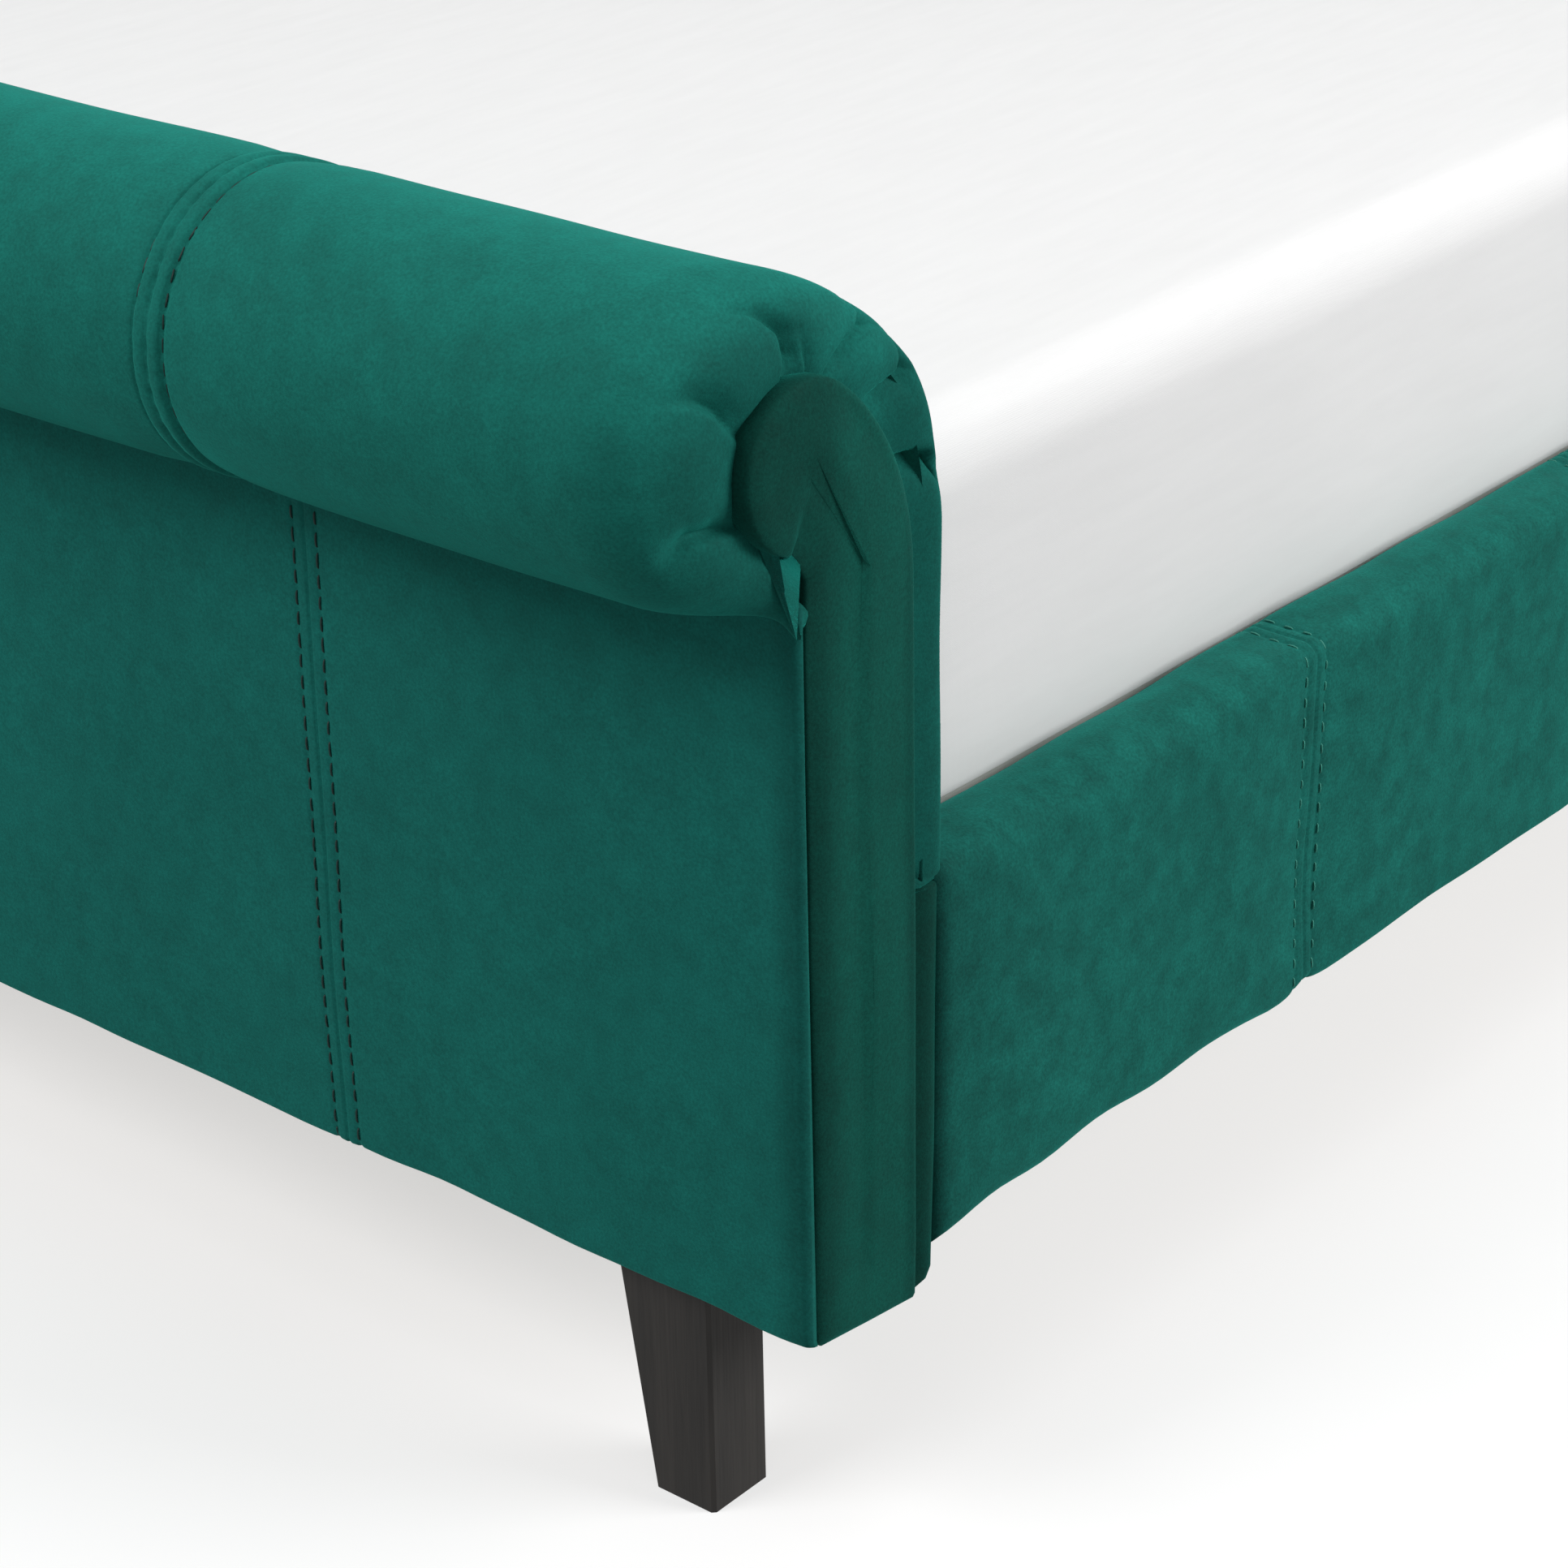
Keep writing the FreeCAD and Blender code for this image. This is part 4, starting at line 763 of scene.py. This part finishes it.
def facing_outline(board, inset):
    """Closed keyhole outline, drawn in by inset all round."""
    head, shoulder, inner, foot, outer = FACING_COUNTS
    up = board.rise
    inner_d = EDGE_D - inset
    outer_d = FACING_START + FACING_OUT + inset
    low, knee = -13 + inset, 404 + up
    points = [
        arc(KNOB_C, KNOB_R - inset, -100, KNOB_TURN - 360, np.linspace(0, 1, head)) + (0, up),
        arc(SHOULDER_C, SHOULDER_R - inset, KNOB_TURN, 0, np.linspace(0, 1, shoulder + 1)[1:]) + (0, up),
        line((inner_d, SHOULDER_C[1] + up), (inner_d, low + 2), np.linspace(0, 1, inner + 1)[1:]),
        line((inner_d, low), (outer_d + 3, low + 7), np.linspace(0.02, 1, foot)),
        line((outer_d, low + 11), (outer_d, knee), np.linspace(0, 1, outer)),
    ]
    return np.concatenate(points)


def blended(values):
    """A value for each point of the facing's outline, eased where one stretch meets the next."""
    steps = np.repeat(np.array(values, float), FACING_COUNTS)
    near = np.arange(-7, 8)
    return np.mean([np.roll(steps, shift) for shift in near], axis=0)


def facing_pair(board):
    """Both keyhole facings, stuffed over a board: one is simulated, the other is its mirror."""
    reach, fall = blended(FACING_ROUND), blended(FACING_FALL)

    def ring(inset, x):
        flat = facing_outline(board, inset - FACING_OUT)
        return np.concatenate([np.broadcast_to(np.asarray(x, float), len(flat))[:, None], flat], -1)

    wall = (FACING_BACK + FACING_X - fall) / 2
    rings = [ring(1.5, FACING_BACK), ring(0.4, FACING_BACK + 1.2), ring(0, wall)]
    for inset in FACING_INSETS:
        away = 1 - np.clip(inset / reach, 0, 1)
        rings.append(ring(inset, FACING_X - 1.0 - fall * (1 - np.sqrt(1 - away ** 2))))
    rings = np.array(rings)
    pad = ring_loft(f"{board.name}_facing_pad_right", board.place(rings), VELVET_FACING)
    held = np.zeros(rings.shape[:2], bool)
    held[:5] = True
    cut_out = coordinates(pad.data)
    puff(pad, 4.0, 0.003, np.flatnonzero(held.ravel()), 6.0)
    swell = (coordinates(pad.data) - cut_out).reshape(rings.shape)
    swell = np.mean([np.roll(swell, shift, axis=1) for shift in range(-14, 15)], axis=0)
    for _ in range(6):
        swell[1:-1] = (swell[:-2] + 2 * swell[1:-1] + swell[2:]) / 4
        swell[-1] = swell[-2]
    co = cut_out + swell.reshape(-1, 3)
    spot = np.array([*board.place(np.array([FACING_X, 5, KNOB_C[1] - 38 + board.rise]))])
    reach_out = co - spot
    crease = bell(reach_out[:, 1], 0.0045) * bell(reach_out[:, 2], 0.016) * (co[:, 0] > (FACING_X - 8) * MM)
    co[:, 0] -= 0.004 * crease
    co[:, 0] = np.minimum(co[:, 0], FACING_X * MM + 0.001)
    pad.data.vertices.foreach_set("co", co.astype(np.float32).ravel())
    return pad, mirrored(pad, f"{board.name}_facing_pad_left")


# ================================================================ lower inner covers
def lower_cover(board):
    """Thin cloth cover below the cross seam, drawn round the ends behind the facings."""
    top, bottom = SEAM_H - 0.6, -16.0
    heights = np.linspace(top - 3, bottom + 6, 30)
    depth = np.interp(heights, [bottom, 60, top], [INNER_D - 9, INNER_D - 6, INNER_D - 3])
    front = np.concatenate([
        [[depth[0] - 12, top], [depth[0] - 2, top - 0.6]],
        np.stack([depth, heights], -1),
        [[depth[-1] - 4, bottom + 1], [depth[-1] - 14, bottom]],
    ])
    inside = EDGE_D - 2
    turns = np.linspace(0, 1, 16)[1:]
    reach = 11.0
    square = 0.55
    ends = END_X - reach * (1 - np.sin(turns * math.pi / 2) ** square) - 9 * turns ** 5
    share = 1 - np.cos(turns * math.pi / 2) ** square
    flat = np.linspace(-END_X + reach, END_X - reach, 90)
    xs = np.concatenate([-ends[::-1], flat, ends])
    shares = np.concatenate([share[::-1], 0 * flat, share])
    grid = np.zeros((len(xs), len(front), 3))
    grid[..., 0] = xs[:, None]
    grid[..., 1] = front[:, 0] + (inside - front[:, 0]) * shares[:, None]
    grid[..., 2] = front[:, 1]
    grid[..., 1] += waves(grid, 160, SEED + 60) * 0.5
    hem = np.interp(front[:, 1], [bottom, 30], [1, 0])
    grid[..., 2] += hem * waves(grid[..., :1], 180, SEED + 61) * 1.2
    back = np.array([[inside - 1, bottom + 2], [inside - 1, 60], [inside - 1, 130], [inside - 1, top - 1]])
    backs = np.zeros((len(xs), len(back), 3))
    backs[..., 0], backs[..., 1], backs[..., 2] = xs[:, None], back[:, 0], back[:, 1]
    rings = board.place(np.concatenate([grid, backs], axis=1))
    return ring_loft(f"{board.name}_inner_skirt", rings, VELVET_FACING)


def upholster(board):
    name, frame_body = board.name, "bed_frame"
    cover, grid, skin = roll_cover(board)
    dress(cover, frame_body, "velvet", f"{name}_roll_pad", f"{name}_inner_pad")
    dress(roll_stitches(board, grid, skin), frame_body, "velvet")
    pad, grid, skin, xs = face_pad(board)
    dress(pad, frame_body, "velvet", f"{name}_outer_pad")
    dress(face_stitches(board, grid, skin, xs), frame_body, "velvet")
    for facing, hand in zip(facing_pair(board), ("right", "left")):
        dress(facing, frame_body, "velvet", f"{name}_facing_{hand}")
    skirt = lower_cover(board)
    dress(skirt, frame_body, "velvet", f"{name}_lower_cover")


# ================================================================ side rails
RAIL_TUCK = 7.0                                           # the sleeve's ends are pressed into the boards


def rail_cover():
    """The right-hand rail's cover: a padded sleeve round the rail board, six panels long."""
    low, high = (np.array(v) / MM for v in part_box("rail_pad_right"))
    seams = [low[1] + (high[1] - low[1]) * i / RAIL_PANELS for i in range(1, RAIL_PANELS)]
    soft = 13.0
    top_c_out, top_c_in = (high[0] - soft, high[2] - soft), (low[0] + soft, high[2] - soft)
    t = np.linspace(0, 1, 8)
    side = np.linspace(low[2] + soft, high[2] - soft, 30)
    outer = np.concatenate([
        [[high[0] - 24, low[2] + 1.5]],
        arc((high[0] - soft, low[2] + soft), soft, -90, 0, t),
        np.stack([0 * side + high[0], side], -1)[1:-1],
        arc(top_c_out, soft, 0, 90, t),
        np.stack([np.linspace(high[0] - soft, low[0] + soft, 6), np.full(6, high[2])], -1)[1:-1],
        arc(top_c_in, soft, 90, 180, t),
        np.stack([0 * side + low[0], side[::-1]], -1)[1::3],
        [[low[0], low[2] + 8], [low[0] + 10, low[2] + 4]],
    ])
    lining = np.array([
        [low[0] + 11.5, low[2] + 10], [low[0] + 11, high[2] - 40], [low[0] + 11, high[2] - 15],
        [high[0] - 16, high[2] - 15], [high[0] - 16, low[2] + 60], [high[0] - 16, low[2] + 5]])
    ys = spaced(low[1] - RAIL_TUCK, high[1] + RAIL_TUCK, 12, seams, 14.0, 1.3)
    grid = np.zeros((len(ys), len(outer), 3))
    grid[..., 0], grid[..., 1], grid[..., 2] = outer[:, 0], ys[:, None], outer[:, 1]
    skin = normals(grid)
    skin *= np.sign(skin[len(ys) // 2, 20, 0])
    run = run_along(grid)
    lift = waves(grid, 300, SEED + 70) * 0.8 + waves(grid, 110, SEED + 71) * 0.5 - 2.0
    for seam in seams:
        lift = lift + flat_seam(grid[..., 1], run, seam) - 1.2 * bell(grid[..., 1] - seam, 40)
    crease_at = low[1] + 125
    lift = lift - 1.2 * bell(grid[..., 1] - crease_at - (grid[..., 2] - 250) * 0.06, 2.5)
    inner = np.interp(outer[:, 0], [low[0], low[0] + 20], [0.3, 1.0])
    hem = np.interp(outer[:, 1], [low[2], low[2] + 60], [1, 0]) * (outer[:, 0] > high[0] - 30)
    wave = waves(grid[..., 1:2], 330, SEED + 72) * 2.2 + waves(grid[..., 1:2], 120, SEED + 73) * 1.0
    for seam in seams:
        wave = wave + 5.0 * bell(grid[..., 1] - seam - 4, 11) - 2.5 * bell(grid[..., 1] - seam + 22, 22)
    grid = grid + skin * (lift * inner)[..., None]
    grid[..., 2] += hem * (wave + 1.5)
    rings = np.concatenate([grid, np.zeros((len(ys), len(lining), 3))], axis=1)
    rings[:, len(outer):, 0] = lining[:, 0]
    rings[:, len(outer):, 1] = ys[:, None]
    rings[:, len(outer):, 2] = lining[:, 1]
    cover = ring_loft("rail_cover_right", rings * MM, VELVET_RAIL)
    near_seam = np.min([np.abs(ys - s) for s in seams], axis=0) < 12
    held = np.zeros(rings.shape[:2], bool)
    held[:, len(outer):] = True
    held[near_seam] = True
    held[0] = held[-1] = True
    puff(cover, 2.0, 0.003, np.flatnonzero(held.ravel()))
    shaped = coordinates(cover.data).reshape(rings.shape)[:, :len(outer)]
    return cover, shaped, ys, seams


def rail_stitches(shaped, ys, seams):
    verts, faces = [], []
    skin = normals(shaped)
    skin *= np.sign(skin[len(ys) // 2, 20, 0])
    last = shaped.shape[1] - 12
    for n, seam in enumerate(seams):
        for m, side in enumerate((-1, 1)):
            i = int(np.argmin(np.abs(ys - seam - side * (ROW_OFFSET + 1.5))))
            path = shaped[i, 4:last] + skin[i, 4:last] * 0.0004
            stitch_row(verts, faces, path, skin[i, 4:last], RAIL_PITCH * MM, RAIL_LONG * MM,
                       THREAD_THICK * MM, SEED + 90 + n * 2 + m, 0.004)
    return new_piece("rail_stitches_right", verts, faces, THREAD_LIGHT)


def mirrored(piece, name):
    other = piece.copy()
    other.data = piece.data.copy()
    other.name = name
    bpy.context.scene.collection.objects.link(other)
    other.data.transform(Matrix.Scale(-1, 4, (1, 0, 0)))
    other.data.flip_normals()
    return other


def rails():
    cover, shaped, ys, seams = rail_cover()
    stitches = rail_stitches(shaped, ys, seams)
    left_cover = mirrored(cover, "rail_cover_left")
    left_stitches = mirrored(stitches, "rail_stitches_left")
    for sleeve, threads, hand in ((cover, stitches, "right"), (left_cover, left_stitches, "left")):
        dress(sleeve, "bed_frame", "velvet", f"rail_pad_{hand}")
        dress(threads, "bed_frame", "velvet")


# ================================================================ mattress and fitted sheet
BLOCK_CORNER = 60.0                                       # upright corners of the mattress and its sheet
MATTRESS_EDGE = 34.0
SHEET_EDGE = 38.0
TAPE_RISE = 34.0                                          # tape edge above the mattress's underside
TAPE_R = 3.2


def pillow_grid(low, high, radius, step, rounding_steps=7):
    """A rounded block as rings from the middle of the top out, over the edge and down: ring by ring."""
    half = (high - low) / 2
    middle = (high + low) / 2
    count = 4 * int(round((half[0] + half[1]) / 2 / step * 2))
    rings = []

    def outline(inset, z):
        hx, hy, r = half[0] - inset, half[1] - inset, max(BLOCK_CORNER - inset, 6.0)
        pts = []
        sides = (((hx, -hy + r), (hx, hy - r)), ((hx - r, hy), (-hx + r, hy)),
                 ((-hx, hy - r), (-hx, -hy + r)), ((-hx + r, -hy), (hx - r, -hy)))
        centres = ((hx - r, hy - r), (-hx + r, hy - r), (-hx + r, -hy + r), (hx - r, -hy + r))
        for k, (a, b) in enumerate(sides):
            straight = np.linspace(0, 1, count // 4 - 8 + 1)[:-1]
            pts.append(line(a, b, straight))
            pts.append(arc(centres[k], r, 90 * k, 90 * (k + 1), np.linspace(0, 1, 9)[:-1]))
        flat = np.concatenate(pts)
        return np.concatenate([flat + middle[:2], np.full((len(flat), 1), z)], -1)

    depth = min(half[0], half[1]) - radius
    for share in np.linspace(0.97, 0, 26)[:-1]:
        rings.append(outline(radius + depth * share, high[2]))
    for turn in np.linspace(0, 1, rounding_steps):
        a = turn * math.pi / 2
        rings.append(outline(radius * (1 - math.sin(a)), high[2] - radius * (1 - math.cos(a))))
    return rings, outline


UPPER_TAPE_RING = 31                                      # rings held still where the tape edges are
LOWER_TAPE_RING = 20                                      # counted back from the last ring


def mattress_piece():
    low, high = (np.array(v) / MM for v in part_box("mattress"))
    radius = MATTRESS_EDGE
    rings, outline = pillow_grid(low + 2, high - 2, radius, 26)
    for z in np.linspace(high[2] - radius - 14, low[2] + radius + 8, 8):
        rings.append(outline(0, z))
    for turn in np.linspace(0, 1, 7):
        a = turn * math.pi / 2
        rings.append(outline(radius * (1 - math.cos(a)), low[2] + 2 + radius * (1 - math.sin(a))))
    depth = min(high[0] - low[0], high[1] - low[1]) / 2 - radius
    for share in np.linspace(0, 0.97, 14)[1:]:
        rings.append(outline(radius + depth * share, low[2] + 2))
    rings = np.array(rings)
    piece = ring_loft("mattress_body", rings * MM, TICKING)
    held = np.zeros(rings.shape[:2], bool)
    held[[UPPER_TAPE_RING, len(rings) - LOWER_TAPE_RING]] = True
    puff(piece, 3.0, 0.006, np.flatnonzero(held.ravel()))
    co = coordinates(piece.data)
    inside = np.clip(co, (low * MM), (high * MM) - np.array([0, 0, 0.0005]))
    piece.data.vertices.foreach_set("co", inside.astype(np.float32).ravel())
    dress(piece, "mattress", "mattress_ticking", "mattress")
    return outline, low


def piping(outline, low):
    """Tape edge round the foot of the mattress border."""
    path = outline(-1.0, low[2] + TAPE_RISE)
    verts, faces = [], []
    sides = 8
    n = len(path)
    up = np.array([0, 0, 1.0])
    for i, p in enumerate(path):
        tangent = path[(i + 1) % n] - path[i - 1]
        out = np.cross(tangent, up)
        out /= np.linalg.norm(out)
        for k in range(sides):
            a = 2 * math.pi * k / sides
            verts.append((p + TAPE_R * (out * math.cos(a) + up * math.sin(a))) * MM)
    for i in range(n):
        for k in range(sides):
            a, b = i * sides + k, i * sides + (k + 1) % sides
            c, d = ((i + 1) % n) * sides + (k + 1) % sides, ((i + 1) % n) * sides + k
            faces.append((a, b, c, d))
    dress(new_piece("mattress_tape_lower", verts, faces, TICKING), "mattress", "mattress_ticking")


def fitted_sheet():
    """White sheet stretched over the mattress, with soft drag lines down its sides."""
    low, high = (np.array(v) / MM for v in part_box("fitted_sheet"))
    radius = SHEET_EDGE
    rings, outline = pillow_grid(low, high, radius, 12, 12)
    hem = low[2] + 2
    for z in np.linspace(high[2] - radius - 6, hem, 30):
        rings.append(outline(0, z))
    grid = np.array(rings)
    skin = normals(grid)
    skin *= np.sign(skin[3, 3, 2])
    slanted = grid @ np.array([[1.0, 0, 0.35], [0, 1.0, 0.35], [0.5, 0.5, 0.6]]).T
    drape = waves(slanted, 420, SEED + 100) * 1.1 + waves(slanted, 170, SEED + 101) * 0.5
    top = np.clip((grid[..., 2] - (high[2] - 8)) / 8, 0, 1)
    lift = drape * (0.9 - 0.5 * top) - 0.8
    grid = grid + skin * lift[..., None]
    n, m = grid.shape[:2]
    faces = [(i * m + j, i * m + (j + 1) % m, (i + 1) * m + (j + 1) % m, (i + 1) * m + j)
             for i in range(n - 1) for j in range(m)]
    faces.append(tuple(range(m)))
    sheet = new_piece("fitted_sheet_cloth", grid.reshape(-1, 3) * MM, faces, LINEN)
    dress(sheet, "mattress", "white_linen", "fitted_sheet")


# ================================================================ CAD nodes that stay
FINISHES = (
    (DARK_WOOD, "dark_leg", ("leg_left", "leg_right")),
    (BIRCH, "slat_birch", ("slats_left", "slats_right")),
    (PLY, "plywood", ("end_panels", "scroll_ribs", "scroll_skin", "outer_board", "inner_board")),
    (PLY, "plywood", ("mount_board", "facing_boards")),
    (PINE_Y, "pine", ("rail_board", "slat_ledger", "centre_rail")),
    (PINE, "pine", ("posts", "cross_rails", "scroll_bar", "support_leg")),
    (BLACK_PLASTIC, "black_plastic", ("slat_holders", "levelling_foot")),
    (BLACK_STEEL, "black_steel", ("brackets",)),
    (ZINC, "zinc_steel", ("bolts", "screws")),
)


def finish_for(name):
    for material, slot, words in FINISHES:
        if any(word in name for word in words):
            return material, slot
    return PINE, "pine"


def dress_frame():
    for name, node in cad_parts.items():
        if node.hide_render:
            continue
        material, slot = finish_for(name)
        node.data.materials.clear()
        node.data.materials.append(material)


# ================================================================ stage
FLOOR_HALF = 40.0
FLOOR_GLOW = 0.57
WORLD_STRENGTH = 0.37
# Name, place, aim, size and power of each softbox, in metres and watts.
SOFTBOXES = (
    ("key_overhead", (0.6, -0.9, 4.2), (0.2, -0.4, 0.3), (3.2, 3.2), 42),
    ("key_front", (-1.0, -4.1, 3.7), (0.2, -1.0, 0.35), (2.4, 1.8), 108),
    ("fill_right", (4.5, 1.3, 2.6), (0.7, 0.1, 0.3), (2.6, 2.0), 178),
)
CAMERA_LENS = 90.15
CAMERA_FROM_CORNER = (1.0384, -1.2457, 1.0828)            # from the footboard's lower right corner
CAMERA_RIGHT = (0.769, 0.639, -0.017)
CAMERA_UP = (-0.264, 0.342, 0.902)
CAMERA_FORWARD = (-0.582, 0.690, -0.431)


def softbox(name, place, aim, size, power):
    light = bpy.data.lights.new(name, "AREA")
    light.shape = "RECTANGLE"
    light.size, light.size_y = size
    light.energy = power
    lamp = bpy.data.objects.new(name, light)
    lamp.location = place
    lamp.rotation_mode = "QUATERNION"
    lamp.rotation_quaternion = (Vector(aim) - Vector(place)).to_track_quat("-Z", "Y")
    bpy.context.scene.collection.objects.link(lamp)


def stage():
    scene = bpy.context.scene
    scene.view_settings.view_transform = "Standard"
    floor_material, tree, shader, place = nodes_of("studio_floor")
    tone = ramp(tree, noise(tree, place, 3, 2.0), (0.3, (0.44,) * 3), (0.7, (0.46,) * 3))
    tree.links.new(tone, shader.inputs["Base Color"])
    shader.inputs["Roughness"].default_value = 0.9
    shader.inputs["Specular IOR Level"].default_value = 0.1
    shader.inputs["Emission Color"].default_value = (1, 1, 1, 1)
    shader.inputs["Emission Strength"].default_value = FLOOR_GLOW
    corners = [(FLOOR_HALF * x, FLOOR_HALF * y, 0) for x, y in ((-1, -1), (1, -1), (1, 1), (-1, 1))]
    floor = new_piece("studio_floor", corners, [(0, 1, 2, 3)], floor_material, smooth=False)
    floor.visible_diffuse = floor.visible_glossy = False
    world = bpy.data.worlds.new("studio")
    scene.world = world
    world.use_nodes = True
    world.node_tree.nodes["Background"].inputs["Color"].default_value = (1, 1, 1, 1)
    world.node_tree.nodes["Background"].inputs["Strength"].default_value = WORLD_STRENGTH

    for box in SOFTBOXES:
        softbox(*box)

    camera = bpy.data.objects.new("camera", bpy.data.cameras.new("camera"))
    camera.data.sensor_width = 36
    camera.data.lens = CAMERA_LENS
    camera.data.clip_end = 200
    turn = Matrix((Vector(CAMERA_RIGHT), Vector(CAMERA_UP), -Vector(CAMERA_FORWARD))).transposed()
    corner = Vector((FACING_X * MM, -FACE_Y * MM, UNDERSIDE * MM))
    camera.matrix_world = Matrix.Translation(corner + Vector(CAMERA_FROM_CORNER)) @ turn.to_4x4()
    scene.collection.objects.link(camera)
    scene.camera = camera


for end_board in (Board("foot", -1, 0.0), Board("head", 1, HEAD_RISE)):
    upholster(end_board)
rails()
piping(*mattress_piece())
fitted_sheet()
dress_frame()
stage()
